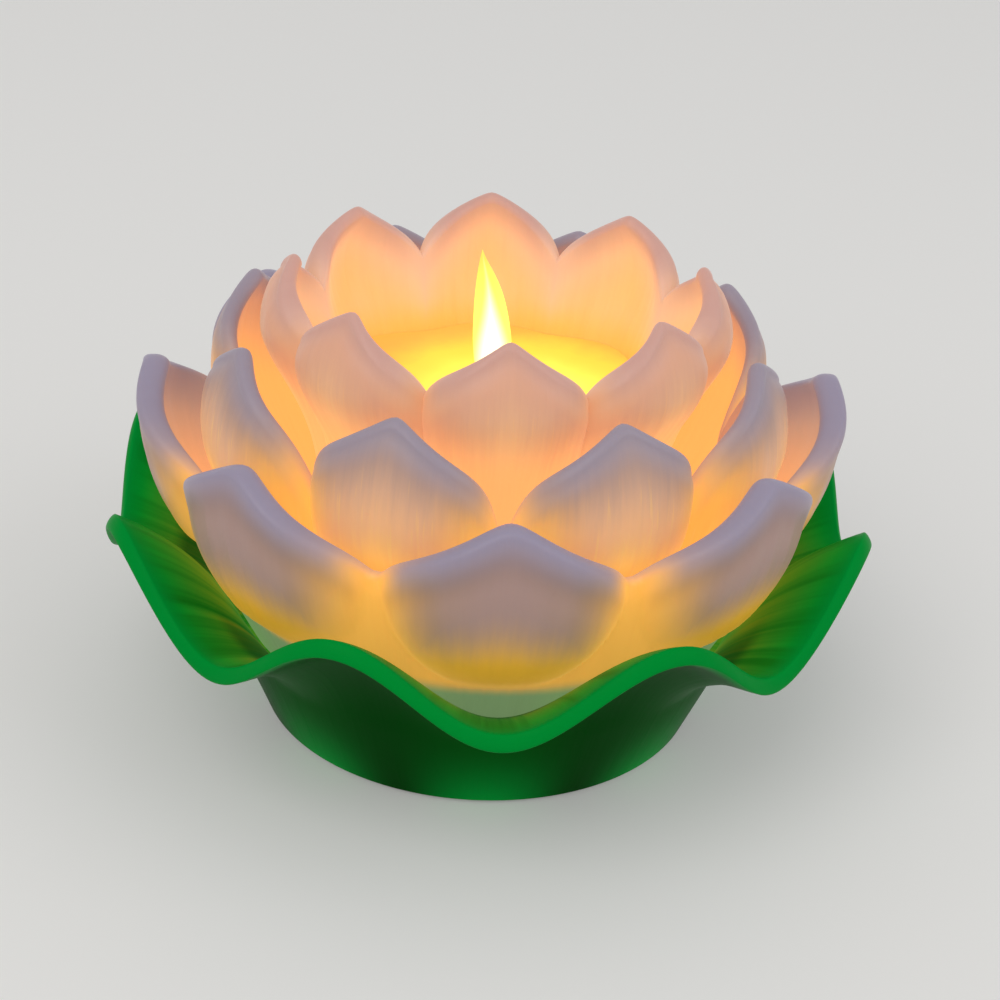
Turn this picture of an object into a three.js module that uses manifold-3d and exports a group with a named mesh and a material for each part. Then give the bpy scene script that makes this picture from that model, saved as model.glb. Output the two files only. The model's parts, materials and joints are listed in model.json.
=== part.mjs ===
// LED lotus candle. Three crowns of translucent petals nest in one another on a fluted green leaf
// base, round a candle top with a flame tab that swings on a wire over a magnet coil.
// Millimetres, +Z up. The origin is on the surface that the lamp stands on, at its axis.
// Angles run from the front, -Y, towards the right, +X.

import * as THREE from "three";
import { mergeVertices } from "three/addons/utils/BufferGeometryUtils.js";
import Module from "manifold-3d";

const wasm = await Module();
wasm.setup();

// Shared counts and clearances
const petalCount = 8;
const screwCount = 4;
const glowLedCount = 4;
const columnsPerPetal = 8;
const roundSides = 24;
const smallSides = 16;
const tinySides = 8;
const wireSides = 5;
const seatGap = 0.2;
const runGap = 0.35;
const cutOverrun = 1;
const weldDistance = 0.001;

// Foot: the leaf base's lower wall and the plate that closes it
const standHeight = 1;
const plateThickness = 2.2;
const plateGap = 0.3;
const leafWall = 2.4;
const leafLedgeWidth = 1.2;
const footMargin = 12.5;
const wiringSpace = 4.1;
const deckThickness = 2.4;
const deckLedge = 1.4;
const leadHoleRadius = 10;
const postRadius = 3.4;
const postWallGap = 0.7;

// Leaf: a dish round the deck, with its valleys in line with the outer petals
const leafLipThickness = 3.6;
const leafLipBulge = 0.9;
const valleyBendReach = 8.1;
const valleyBendRise = 5;
const valleyRimReach = 24.5;
const valleyRimRise = 15.9;
const crestBendGap = 4.2;
const crestBendRise = 21;
const crestRimReach = 26.9;
const crestRimRise = 32;

// Petal crowns: each has a root, a belly where it is widest, a tip and creases between its petals
const floorThickness = 2.4;
const petalRootWall = 3.2;
const petalLipWall = 3.6;
const petalLipRound = 1.6;
const petalRoundness = 3.2;
const rowCrowding = 0.75;
const creaseDipPower = 8;

const innerShoulderShare = 0.84;
const innerSoftnessShare = 0.07;
const innerSwellDelay = 4;
const innerRootGap = 2.8;
const innerBellySwell = 13;
const innerBellyRise = 59.6;
const innerTipDraw = 6.4;
const innerTipRise = 73.6;
const innerCreaseFlare = 6.6;
const innerCreaseRise = 60.8;

const middleShoulderShare = 0.53;
const middleSoftnessShare = 0.06;
const middleSwellDelay = 1.6;
const middleRootGap = 4.8;
const middleBellyInset = 2.4;
const middleBellyLift = 9.5;
const middleTipDraw = 5.5;
const middleTipRise = 64.4;
const middleCreaseFlare = 8.4;
const middleCreaseRise = 39.2;

const outerShoulderShare = 0.87;
const outerSoftnessShare = 0.1;
const outerSwellDelay = 1;
const outerRootGap = 5.3;
const outerBellySwell = 21.5;
const outerBellyRise = 45.8;
const outerTipDraw = 2.7;
const outerTipRise = 55.4;
const outerCreaseFlare = 12.5;
const outerCreaseRise = 38.3;

// Candle top
const candleDishDepth = 2.5;
const candleThickness = 2;
const candleRimGap = 0.5;
const candleHoleRadius = 7.4;
const skirtWall = 1.8;
const bossRadius = 3;
const bossHeight = 10;
const bossSetIn = 0.8;

// Screws
const screwRadius = 1.3;
const screwHeadRadius = 2.7;
const screwHeadHeight = 1.4;
const screwSlotWidth = 0.6;
const screwSlotDepth = 0.7;
const screwSlotReach = 1.6;
const screwHoleGap = 0.2;
const plateScrewLength = 11;
const flowerScrewLength = 17;

// Foot pads
const footRadius = 4;
const footThickness = 2.2;
const footEdgeGap = 1.3;
const footGap = 0.2;

// Flame module
const moduleRadius = 13;
const moduleWall = 1.4;
const moduleFloor = 1.6;
const moduleCapHeight = 7.45;
const moduleCapThickness = 1.4;
const modulePinCircleRadius = 9;
const pinRadius = 0.9;
const pinHoleGap = 0.15;
const pinRise = 0.8;
const collarGap = 0.4;
const collarDrop = 0.6;
const wireRadius = 0.3;
const wireSlotWidth = 1;
const wireEndGap = 0.3;

// Flame tab
const tabThickness = 1;
const tabStemWidth = 3.2;
const tabHoleRadius = 0.55;
const flameRise = 1.6;
const flameHeight = 33.5;
const flameWidth = 8.2;
const flameLean = 3.9;
const tabTailLength = 15;
const tabFootWidth = 4.4;
const tabFootHeight = 2;
const flameSlotHalfLength = 5.2;
const flameSlotHalfWidth = 1.7;
const magnetRadius = 2.5;
const magnetThickness = 4;
const magnetOffset = 0.4;

// Coil
const bobbinRadius = 4.2;
const bobbinHeight = 5;
const bobbinFlange = 0.8;
const bobbinCoreRadius = 1.9;
const bobbinBoreRadius = 1.2;
const windingInset = 0.5;
const magnetClearance = 1.1;

// Light emitting diodes
const ledRadius = 1.5;
const ledFlangeRadius = 1.75;
const ledFlangeHeight = 0.8;
const ledBodyHeight = 2.8;
const ledLegWidth = 0.5;
const ledLegPitch = 2.54;
const ledTilt = THREE.MathUtils.degToRad(15);
const ledLegGap = 0.8;
const flameLedLift = 3;
const ledPocketGap = 0.25;
const boardThickness = 1.4;
const glowLedGap = 3.45;
const glowBoardRim = 2.45;
const glowBoardGap = 0.6;

// Battery compartment
const cellRadius = 5.15;
const cellLength = 44.5;
const cellNubRadius = 1.9;
const cellNubHeight = 0.9;
const cellEdgeRound = 0.5;
const cellCount = 3;
const cellSideGap = 0.9;
const trayOffset = -4;
const trayWall = 1.4;
const traySideGap = 0.6;
const trayRoofGap = 0.4;
const contactThickness = 0.4;
const contactSize = 8.4;
const contactTagLength = 3.2;
const contactTagWidth = 2;
const contactTagGap = 0.3;
const springLength = 5.9;
const springWireRadius = 0.35;
const springBaseRadius = 3.6;
const springTipRadius = 2.2;
const springTurns = 3.5;
const doorThickness = 1.6;
const doorGap = 0.35;
const doorInset = 0.2;
const doorHookWidth = 6;
const doorHookReach = 1.25;
const doorHookThickness = 1;
const doorHookOffset = 10;
const doorPivotRise = 0.3;
const latchWidth = 10;
const latchReach = 1.2;
const latchThickness = 1;
const latchGripDepth = 0.7;
const doorRibCount = 5;
const doorRibWidth = 0.8;
const doorRibPitch = 1.9;

// Control board and slide switch
const controlBoardLength = 34;
const controlBoardWidth = 16;
const controlBoardGap = 4.15;
const switchLength = 9;
const switchWidth = 4.4;
const switchHeight = 3.6;
const switchTravel = 2;
const knobLength = 4;
const knobWidth = 4;
const knobThickness = 1;
const knobStemLength = 1.6;
const knobStemWidth = 1.4;
const knobRibWidth = 0.5;
const knobRibDepth = 0.35;
const knobRibCount = 3;
const chipLength = 5;
const chipWidth = 4;
const chipHeight = 1.6;
const chipGap = 2.3;
const capacitorRadius = 2.5;
const capacitorHeight = 7;
const capacitorGap = 0.3;
const boardPostRadius = 1.8;
const boardPostInset = 2.4;

// Leads
const leadRadius = 0.6;
const leadStepLength = 3;
const leadSpacing = 2.6;
const leadSlack = 5;

// Heights, from the table up: the foot and its cells, the deck and the crowns' floors
const halfPitch = Math.PI / petalCount;
const plateTop = standHeight + plateThickness;
const ledgeHeight = plateTop + seatGap;
const doorBottom = standHeight + doorInset;
const doorTop = doorBottom + doorThickness;
const cellAxisHeight = plateTop + seatGap + cellRadius;
const trayInside = cellAxisHeight + cellRadius + trayRoofGap;
const trayRoofTop = trayInside + trayWall;
const deckBottom = trayRoofTop + wiringSpace;
const deckHeight = deckBottom + deckThickness;
const outerFloorHeight = deckHeight + seatGap;
const middleFloorHeight = outerFloorHeight + floorThickness + seatGap;
const innerFloorHeight = middleFloorHeight + floorThickness + seatGap;
const flowerFloorTop = innerFloorHeight + floorThickness;

// Heights of the flame module: the glow board, the coil, the magnet's swing, the wire and the cap
const candleSeat = flowerFloorTop + seatGap;
const glowBoardTop = candleSeat + boardThickness;
const moduleSeat = glowBoardTop + seatGap;
const moduleFloorTop = moduleSeat + moduleFloor;
const bobbinBase = moduleFloorTop + seatGap;
const magnetBottom = bobbinBase + bobbinHeight + magnetClearance;
const magnetTop = magnetBottom + magnetThickness;
const tabFootBottom = magnetTop + seatGap;
const wireHeight = tabFootBottom + tabTailLength;
const moduleJointHeight = wireHeight + wireRadius;
const capBase = moduleJointHeight + seatGap;
const capTop = capBase + moduleCapHeight;
const candleCentreHeight = capTop + runGap + candleThickness;
const candleRimHeight = candleCentreHeight + candleDishDepth;
const collarTop = candleCentreHeight - collarDrop;
const flameBaseHeight = collarTop + flameRise;
const flameTipHeight = flameBaseHeight + flameHeight;

// Radii, from the flame module out: the glow board, the candle's skirt and the crowns' roots
const glowLedCircleRadius = moduleRadius + glowLedGap + ledFlangeRadius;
const glowBoardRadius = glowLedCircleRadius + ledFlangeRadius + glowBoardRim;
const bossCircleRadius = glowBoardRadius + glowBoardGap + bossRadius;
const skirtRadius = bossCircleRadius + bossRadius - bossSetIn + skirtWall;
const innerRootRadius = skirtRadius + innerRootGap + petalRootWall;
const middleRootRadius = innerRootRadius + middleRootGap + petalRootWall;
const outerRootRadius = middleRootRadius + outerRootGap + petalRootWall;
const deckRadius = outerRootRadius + deckLedge;

// Battery tray, in the middle of the foot, and what stands beside it
const cellPitch = 2 * cellRadius + cellSideGap;
const trayHalfWidth = (cellPitch * (cellCount - 1)) / 2 + cellRadius + traySideGap;
const endGaps = 2 * contactThickness + 6 * seatGap;
const trayHalfLength = (cellLength + springLength + endGaps) / 2;
const contactBack = trayHalfLength - seatGap;
const springSeat = contactBack - contactThickness - seatGap;
const cellFlatEnd = springSeat - springLength - seatGap;
const doorHalfLength = trayHalfLength - doorGap;
const doorHalfWidth = trayHalfWidth - doorGap;
const trayCorner = Math.hypot(trayHalfLength + trayWall, trayHalfWidth + trayWall - trayOffset);
const leafFootRadius = trayCorner + footMargin;
const plateRadius = leafFootRadius - leafWall - plateGap;
const postCircleRadius = plateRadius - leafLedgeWidth - postWallGap - postRadius;
const footCircleRadius = plateRadius - footEdgeGap - footRadius;
const trayEdge = trayOffset + trayHalfWidth + trayWall;
const controlBoardOffset = trayEdge + controlBoardGap + controlBoardWidth / 2;
const switchBottom = plateTop + runGap;
const controlBoardBottom = switchBottom + switchHeight + seatGap;
const controlBoardTop = controlBoardBottom + boardThickness;
const boardPostOffset = controlBoardLength / 2 - boardPostInset;
const chipOffset = boardPostOffset - boardPostRadius - chipGap - chipLength / 2;
const capacitorOffset = boardPostRadius + capacitorGap + capacitorRadius - boardPostOffset;
const knobBottom = standHeight + seatGap;
const knobRecessTop = knobBottom + knobThickness + runGap;
const knobStemTop = switchBottom + switchHeight / 2 - runGap;
const legHoleWidth = ledLegWidth + 2 * seatGap;

// The cells lie side by side in rows, counted from the front.
const rowOffset = (row) => (row - (cellCount - 1) / 2) * cellPitch;

// The flame's diode stands in front of the flame and clear of the coil, in the module's cap.
const flameLedBase = new THREE.Vector3(0, -bobbinRadius - ledLegGap, capBase + flameLedLift);

// The line that the battery door turns about lies along the lower edge of its hooked end, a little
// above its outer face.
const doorPivot = new THREE.Vector3(-doorHalfLength, trayOffset, doorBottom + doorPivotRise);

// Materials
const material = (color, roughness, metalness = 0, extra = {}) =>
  new THREE.MeshStandardMaterial({ color, roughness, metalness, ...extra });
const petalPlastic = material(0xe9c9bd, 0.38);
const leafPlastic = material(0x08a838, 0.35);
const candlePlastic = material(0xf6c473, 0.45);
const flamePlastic = material(0xfff2b0, 0.4, 0, { emissive: 0xffc040 });
const housingPlastic = material(0xe6e3da, 0.5);
const blackPlastic = material(0x202224, 0.45);
const boardLaminate = material(0x1d6b3c, 0.5);
const lensResin = material(0xfbe9c4, 0.15);
const steel = material(0xb9bcc0, 0.3, 1);
const nickel = material(0xcfcfcb, 0.2, 1);
const copper = material(0xb4602c, 0.35, 1);
const cellJacket = material(0x3d6fae, 0.4, 0.3);
const footRubber = material(0x2a2b2c, 0.85);
const redJacket = material(0xb3211c, 0.5);
const blackJacket = material(0x1b1b1c, 0.5);

// The point at a radius, an angle from the front and a height.
const pointAt = (radius, angle, height) =>
  new THREE.Vector3(radius * Math.sin(angle), -radius * Math.cos(angle), height);

// A geometry's triangles as a solid whose faces point outwards.
function solidOf(geometry) {
  const loose = geometry.index ? geometry.toNonIndexed() : geometry;
  const bare = new THREE.BufferGeometry();
  bare.setAttribute("position", loose.getAttribute("position"));
  const merged = mergeVertices(bare, weldDistance);
  const outwards = [];
  const inwards = [];
  for (let i = 0; i < merged.index.count; i += 3) {
    const [a, b, c] = [0, 1, 2].map((corner) => merged.index.getX(i + corner));
    if (a === b || b === c || c === a) continue;
    outwards.push(a, b, c);
    inwards.push(a, c, b);
  }
  const build = (corners) =>
    new wasm.Manifold(
      new wasm.Mesh({
        numProp: 3,
        vertProperties: merged.getAttribute("position").array,
        triVerts: new Uint32Array(corners),
      }),
    );
  const made = build(outwards);
  return made.volume() > 0 ? made : build(inwards);
}

// A solid's surface as a geometry.
function geometryOf(solid) {
  const mesh = solid.getMesh();
  const positions = new Float32Array(mesh.numVert * 3);
  for (let i = 0; i < mesh.numVert; i++)
    for (let k = 0; k < 3; k++)
      positions[i * 3 + k] = mesh.vertProperties[i * mesh.numProp + k];
  const geometry = new THREE.BufferGeometry();
  geometry.setAttribute("position", new THREE.BufferAttribute(positions, 3));
  geometry.setIndex(new THREE.BufferAttribute(new Uint32Array(mesh.triVerts), 1));
  geometry.computeVertexNormals();
  return geometry;
}

// A closed loop of [radius, height] points, carried round the axis. loopAt gives the loop at an
// angle, with the same number of points at each.
function carriedRound(angles, loopAt) {
  const loops = angles.map((angle) => loopAt(angle).map(([r, z]) => pointAt(r, angle, z)));
  const count = loops[0].length;
  const corners = [];
  loops.forEach((loop, i) => {
    const next = loops[(i + 1) % loops.length];
    for (let j = 0; j < count; j++) {
      const k = (j + 1) % count;
      corners.push(loop[j], next[j], next[k], loop[j], next[k], loop[k]);
    }
  });
  return solidOf(new THREE.BufferGeometry().setFromPoints(corners));
}

// A solid turned round Z from a profile of [radius, height] points.
function turned(profile, sides = roundSides) {
  const points = profile.map(([r, z]) => new THREE.Vector2(r, z));
  const geometry = new THREE.LatheGeometry(points, sides);
  return solidOf(geometry.rotateX(Math.PI / 2));
}

// A closed ring's profile, which ends where it starts.
const ringProfile = (inner, outer, bottom, top) => [
  [inner, bottom],
  [outer, bottom],
  [outer, top],
  [inner, top],
  [inner, bottom],
];

// A cylinder that stands on a height, round the Z line through x and y.
function cylinder(radius, bottom, top, x = 0, y = 0, sides = smallSides) {
  const geometry = new THREE.CylinderGeometry(radius, radius, top - bottom, sides);
  geometry.rotateX(Math.PI / 2).translate(x, y, (bottom + top) / 2);
  return solidOf(geometry);
}

// A box between two corners.
function box(x0, x1, y0, y1, z0, z1) {
  const geometry = new THREE.BoxGeometry(x1 - x0, y1 - y0, z1 - z0);
  geometry.translate((x0 + x1) / 2, (y0 + y1) / 2, (z0 + z1) / 2);
  return solidOf(geometry);
}

// The screws of a pattern stand at these angles.
const anglesOf = (count, first = 0) =>
  Array.from({ length: count }, (_, i) => first + (2 * Math.PI * i) / count);

const postAngles = anglesOf(screwCount, Math.PI / screwCount);
const bossAngles = anglesOf(screwCount);

// Cuts one round hole for each angle.
function drilled(solid, radius, circle, angles, bottom, top, sides = tinySides) {
  return angles.reduce((left, angle) => {
    const at = pointAt(circle, angle, 0);
    return left.subtract(cylinder(radius, bottom, top, at.x, at.y, sides));
  }, solid);
}

// Crown of petals, moulded in one piece with its round floor
class PetalCrown {
  constructor(sizes) {
    Object.assign(this, sizes);
  }

  // How far an angle lies from its petal's centre line, as a share of the way to the crease.
  share(angle) {
    const turns = (angle - this.turn) / (2 * halfPitch);
    return Math.abs(turns - Math.round(turns)) * 2;
  }

  // The height of the top edge: a soft point, straight shoulders and a dip into the crease.
  edgeHeight(angle) {
    const share = this.share(angle);
    const soft = this.softnessShare;
    const slope = (Math.hypot(share, soft) - soft) / (Math.hypot(1, soft) - soft);
    const dip = share ** creaseDipPower;
    const fall = this.shoulderShare * slope + (1 - this.shoulderShare) * dip;
    return this.tipHeight - (this.tipHeight - this.creaseHeight) * fall;
  }

  // The petal's outer face on its centre line: it swells to the belly, then draws in to the tip.
  radiusOnCentre(z) {
    if (z <= this.bellyHeight) {
      const up = ((z - this.floorHeight) / (this.bellyHeight - this.floorHeight)) ** this.swellDelay;
      return this.rootRadius + (this.bellyRadius - this.rootRadius) * Math.sin((up * Math.PI) / 2);
    }
    const up = (z - this.bellyHeight) / (this.tipHeight - this.bellyHeight);
    return this.bellyRadius - (this.bellyRadius - this.tipRadius) * up ** 2;
  }

  // The outer face in the crease between two petals.
  radiusInCrease(z) {
    const share = Math.min(1, (z - this.floorHeight) / (this.creaseHeight - this.floorHeight));
    const up = share ** this.swellDelay;
    return this.rootRadius + (this.creaseRadius - this.rootRadius) * Math.sin((up * Math.PI) / 2);
  }

  outerRadius(angle, z) {
    const swell = 1 - this.share(angle) ** petalRoundness;
    const crease = this.radiusInCrease(z);
    return crease + (this.radiusOnCentre(z) - crease) * swell;
  }

  innerRadius(angle, z) {
    const up = (z - this.floorHeight) / (this.tipHeight - this.floorHeight);
    return this.outerRadius(angle, z) - petalRootWall - (petalLipWall - petalRootWall) * up;
  }

  // Up the outer face, over the rounded lip, down the inner face and in along the floor.
  loopAt(angle) {
    const outerRows = 5;
    const innerRows = 3;
    const crowd = (i, rows) => (i / rows) ** rowCrowding;
    const edge = this.edgeHeight(angle);
    const shoulder = edge - petalLipRound;
    const floorTop = this.floorHeight + floorThickness;
    const loop = [];
    for (let i = 0; i <= outerRows; i++) {
      const z = this.floorHeight + (shoulder - this.floorHeight) * crowd(i, outerRows);
      loop.push([this.outerRadius(angle, z), z]);
    }
    const lip = (this.outerRadius(angle, edge) + this.innerRadius(angle, edge)) / 2;
    loop.push([lip, edge]);
    for (let i = innerRows; i >= 0; i--) {
      const z = floorTop + (shoulder - floorTop) * crowd(i, innerRows);
      loop.push([this.innerRadius(angle, z), z]);
    }
    loop.push([leadHoleRadius, floorTop], [leadHoleRadius, this.floorHeight]);
    return loop;
  }

  // Columns crowd towards the tip and the crease, where the outline turns.
  angles() {
    const columnShares = [0, 0.2, 0.5, 0.86];
    const found = [];
    for (let petal = 0; petal < petalCount; petal++) {
      const centre = this.turn + petal * 2 * halfPitch;
      for (const share of columnShares) found.push(centre + share * halfPitch);
      found.push(centre + halfPitch);
      for (const share of columnShares.slice(1).reverse())
        found.push(centre + 2 * halfPitch - share * halfPitch);
    }
    return found;
  }

  solid() {
    const crown = carriedRound(this.angles(), (angle) => this.loopAt(angle));
    const floorTop = this.floorHeight + floorThickness;
    const radius = screwRadius + screwHoleGap;
    const bottom = this.floorHeight - cutOverrun;
    const top = floorTop + cutOverrun;
    return drilled(crown, radius, bossCircleRadius, bossAngles, bottom, top);
  }
}

// The middle crown swells out above the outer crown's creases, and so takes its belly from them.
const innerCrown = new PetalCrown({
  turn: 0,
  shoulderShare: innerShoulderShare,
  softnessShare: innerSoftnessShare,
  swellDelay: innerSwellDelay,
  floorHeight: innerFloorHeight,
  rootRadius: innerRootRadius,
  bellyRadius: innerRootRadius + innerBellySwell,
  bellyHeight: innerFloorHeight + innerBellyRise,
  tipRadius: innerRootRadius + innerBellySwell - innerTipDraw,
  tipHeight: innerFloorHeight + innerTipRise,
  creaseRadius: innerRootRadius + innerCreaseFlare,
  creaseHeight: innerFloorHeight + innerCreaseRise,
});
const outerCrown = new PetalCrown({
  turn: 0,
  shoulderShare: outerShoulderShare,
  softnessShare: outerSoftnessShare,
  swellDelay: outerSwellDelay,
  floorHeight: outerFloorHeight,
  rootRadius: outerRootRadius,
  bellyRadius: outerRootRadius + outerBellySwell,
  bellyHeight: outerFloorHeight + outerBellyRise,
  tipRadius: outerRootRadius + outerBellySwell - outerTipDraw,
  tipHeight: outerFloorHeight + outerTipRise,
  creaseRadius: outerRootRadius + outerCreaseFlare,
  creaseHeight: outerFloorHeight + outerCreaseRise,
});
const middleBellyRadius = outerCrown.creaseRadius - middleBellyInset;
const middleCrown = new PetalCrown({
  turn: halfPitch,
  shoulderShare: middleShoulderShare,
  softnessShare: middleSoftnessShare,
  swellDelay: middleSwellDelay,
  floorHeight: middleFloorHeight,
  rootRadius: middleRootRadius,
  bellyRadius: middleBellyRadius,
  bellyHeight: outerCrown.creaseHeight + middleBellyLift,
  tipRadius: middleBellyRadius - middleTipDraw,
  tipHeight: middleFloorHeight + middleTipRise,
  creaseRadius: middleRootRadius + middleCreaseFlare,
  creaseHeight: middleFloorHeight + middleCreaseRise,
});

// Leaf base: a foot and deck with a dish that flares into a rim of waves. Its crests rise between
// the outer petals and bend clear of the creases there.
function dishPoint(angle, share) {
  const crest = (1 - Math.cos(petalCount * angle)) / 2;
  const mix = (valley, top) => valley + (top - valley) * crest;
  const curve = new THREE.QuadraticBezierCurve(
    new THREE.Vector2(deckRadius, deckHeight),
    new THREE.Vector2(
      mix(deckRadius + valleyBendReach, outerCrown.creaseRadius - crestBendGap),
      mix(deckHeight + valleyBendRise, deckHeight + crestBendRise),
    ),
    new THREE.Vector2(
      mix(deckRadius + valleyRimReach, deckRadius + crestRimReach),
      mix(deckHeight + valleyRimRise, deckHeight + crestRimRise),
    ),
  );
  const at = curve.getPoint(share);
  const along = curve.getTangent(share);
  return { at, below: new THREE.Vector2(along.y, -along.x) };
}

// The wall's thickness grows into the lip over the last stretch of the dish.
function dishThickness(share) {
  const lipStartShare = 0.7;
  return leafWall + (leafLipThickness - leafWall) * THREE.MathUtils.smoothstep(share, lipStartShare, 1);
}

function leafLoop(angle) {
  const topRows = 5;
  const underRows = 2;
  const ledgeRadius = plateRadius + plateGap - leafLedgeWidth;
  const loop = [[leadHoleRadius, deckHeight]];
  for (let i = 0; i <= topRows; i++) {
    const { at } = dishPoint(angle, i / topRows);
    loop.push([at.x, at.y]);
  }
  const rim = dishPoint(angle, 1);
  const middle = rim.at.clone().addScaledVector(rim.below, leafLipThickness / 2);
  const outwards = new THREE.Vector2(-rim.below.y, rim.below.x);
  middle.addScaledVector(outwards, leafLipBulge);
  loop.push([middle.x, middle.y]);
  for (let i = underRows; i >= 0; i--) {
    const { at, below } = dishPoint(angle, i / underRows);
    const under = at.clone().addScaledVector(below, dishThickness(i / underRows));
    loop.push([under.x, under.y]);
  }
  loop.push(
    [leafFootRadius, standHeight],
    [plateRadius + plateGap, standHeight],
    [plateRadius + plateGap, ledgeHeight],
    [ledgeRadius, ledgeHeight],
    [deckRadius - leafWall, deckBottom],
    [leadHoleRadius, deckBottom],
  );
  return loop;
}

function leafBase() {
  const angles = anglesOf(petalCount * columnsPerPetal);
  let leaf = carriedRound(angles, leafLoop);
  for (const angle of postAngles) {
    const at = pointAt(postCircleRadius, angle, 0);
    const postTop = deckBottom + deckThickness / 2;
    leaf = leaf.add(cylinder(postRadius, ledgeHeight, postTop, at.x, at.y, tinySides));
  }
  const pilot = screwRadius + screwHoleGap;
  const pilotTop = standHeight + screwHeadHeight + plateScrewLength + cutOverrun;
  const below = ledgeHeight - cutOverrun;
  leaf = drilled(leaf, pilot, postCircleRadius, postAngles, below, pilotTop);
  const clear = deckHeight + cutOverrun;
  return drilled(leaf, pilot, bossCircleRadius, bossAngles, deckBottom - cutOverrun, clear);
}

// Candle top: a dished disc that fills the inner crown, on a skirt with screw bosses
function candleLoop(angle) {
  const rows = 2;
  const edge = innerCrown.innerRadius(angle, candleRimHeight) - candleRimGap;
  const dish = (r) => candleCentreHeight + candleDishDepth * (r / edge) ** 2;
  const loop = [];
  for (let i = 0; i <= rows; i++) {
    const r = candleHoleRadius + ((edge - candleHoleRadius) * i) / rows;
    loop.push([r, dish(r)]);
  }
  const lowerEdge = edge - candleThickness / 2;
  loop.push([lowerEdge, dish(lowerEdge) - candleThickness]);
  loop.push([candleHoleRadius, candleCentreHeight - candleThickness]);
  return loop;
}

function candleTop() {
  const disc = carriedRound(innerCrown.angles(), candleLoop);
  const skirtTop = candleRimHeight - candleThickness;
  const skirt = turned(ringProfile(skirtRadius - skirtWall, skirtRadius, candleSeat, skirtTop));
  let candle = disc.add(skirt);
  for (const angle of bossAngles) {
    const at = pointAt(bossCircleRadius, angle, 0);
    const boss = [candleSeat, candleSeat + bossHeight, at.x, at.y, tinySides];
    candle = candle.add(cylinder(bossRadius, ...boss));
  }
  const pilotTop = candleSeat + bossHeight + cutOverrun;
  const pilot = screwRadius + screwHoleGap;
  const below = candleSeat - cutOverrun;
  return drilled(candle, pilot, bossCircleRadius, bossAngles, below, pilotTop);
}

// A light emitting diode that stands on its flange and leans back by a tilt, over straight legs.
function diode(legLength, tilt = 0) {
  const dome = 2;
  const profile = [
    [0, 0],
    [ledFlangeRadius, 0],
    [ledFlangeRadius, ledFlangeHeight],
    [ledRadius, ledFlangeHeight],
  ];
  for (let i = 0; i <= dome; i++) {
    const turn = (i / dome) * (Math.PI / 2);
    const z = ledFlangeHeight + ledBodyHeight + ledRadius * Math.sin(turn);
    profile.push([i < dome ? ledRadius * Math.cos(turn) : 0, z]);
  }
  const body = geometryOf(turned(profile, tinySides)).rotateX(-tilt);
  return solidOf(body).add(legs(ledLegWidth, -legLength, ledFlangeHeight / 2));
}

// A diode's two legs, or the holes for them when their width is larger.
function legs(width, bottom, top, at = new THREE.Vector3()) {
  const half = width / 2;
  const pair = [-1, 1].map((side) => {
    const x = at.x + (side * ledLegPitch) / 2;
    return box(x - half, x + half, at.y - half, at.y + half, bottom, top);
  });
  return wasm.Manifold.union(pair);
}

// The space that the flame's diode takes in its pocket, grown by the pocket's clearance.
function diodePocket() {
  const flange = ledFlangeRadius + ledPocketGap;
  const body = ledRadius + ledPocketGap;
  const top = ledFlangeHeight + ledBodyHeight + ledRadius + moduleRadius;
  return turned(
    [
      [0, -moduleRadius],
      [flange, -moduleRadius],
      [flange, ledFlangeHeight + ledPocketGap],
      [body, ledFlangeHeight + ledPocketGap],
      [body, top],
      [0, top],
    ],
    tinySides,
  );
}

// Flame module: a cup and a cap that trap the wire between them
function moduleCup() {
  const inner = moduleRadius - moduleWall;
  const core = bobbinBoreRadius - seatGap;
  let cup = turned([
    [0, moduleSeat],
    [moduleRadius, moduleSeat],
    [moduleRadius, moduleJointHeight],
    [inner, moduleJointHeight],
    [inner, moduleFloorTop],
    [core, moduleFloorTop],
    [core, bobbinBase + bobbinHeight],
    [0, bobbinBase + bobbinHeight],
  ]);
  for (const side of [-1, 1]) {
    const x = side * modulePinCircleRadius;
    const pinTop = moduleSeat + moduleFloor / 2;
    cup = cup.add(cylinder(pinRadius, candleSeat, pinTop, x, 0, tinySides));
  }
  const floorCut = [moduleSeat - cutOverrun, moduleFloorTop + cutOverrun];
  cup = cup.subtract(legs(legHoleWidth, ...floorCut, flameLedBase));
  const slot = box(
    -wireSlotWidth / 2,
    wireSlotWidth / 2,
    -moduleRadius - cutOverrun,
    moduleRadius + cutOverrun,
    wireHeight - wireRadius - seatGap,
    moduleJointHeight + cutOverrun,
  );
  return cup.subtract(slot);
}

function moduleCap() {
  const inner = moduleRadius - moduleWall;
  const collar = candleHoleRadius - collarGap;
  const plateBottom = capTop - moduleCapThickness;
  const shell = turned([
    [0, plateBottom],
    [inner, plateBottom],
    [inner, capBase],
    [moduleRadius, capBase],
    [moduleRadius, capTop],
    [collar, capTop],
    [collar, collarTop],
    [0, collarTop],
  ]);
  const seatFront = -flameSlotHalfWidth - ledPocketGap;
  const seatBlock = turned([
    [0, capBase],
    [inner + moduleWall / 2, capBase],
    [inner + moduleWall / 2, plateBottom + moduleCapThickness / 2],
    [0, plateBottom + moduleCapThickness / 2],
  ]).intersect(
    box(-inner, inner, -inner - moduleWall, seatFront, capBase, capTop),
  );
  const flameSlot = box(
    -flameSlotHalfLength,
    flameSlotHalfLength,
    -flameSlotHalfWidth,
    flameSlotHalfWidth,
    capBase - cutOverrun,
    collarTop + cutOverrun,
  );
  const pocket = new THREE.Matrix4()
    .makeTranslation(flameLedBase.x, flameLedBase.y, flameLedBase.z)
    .multiply(new THREE.Matrix4().makeRotationX(-ledTilt));
  const pocketCut = solidOf(geometryOf(diodePocket()).applyMatrix4(pocket));
  return shell.add(seatBlock).subtract(flameSlot).subtract(pocketCut);
}

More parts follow.
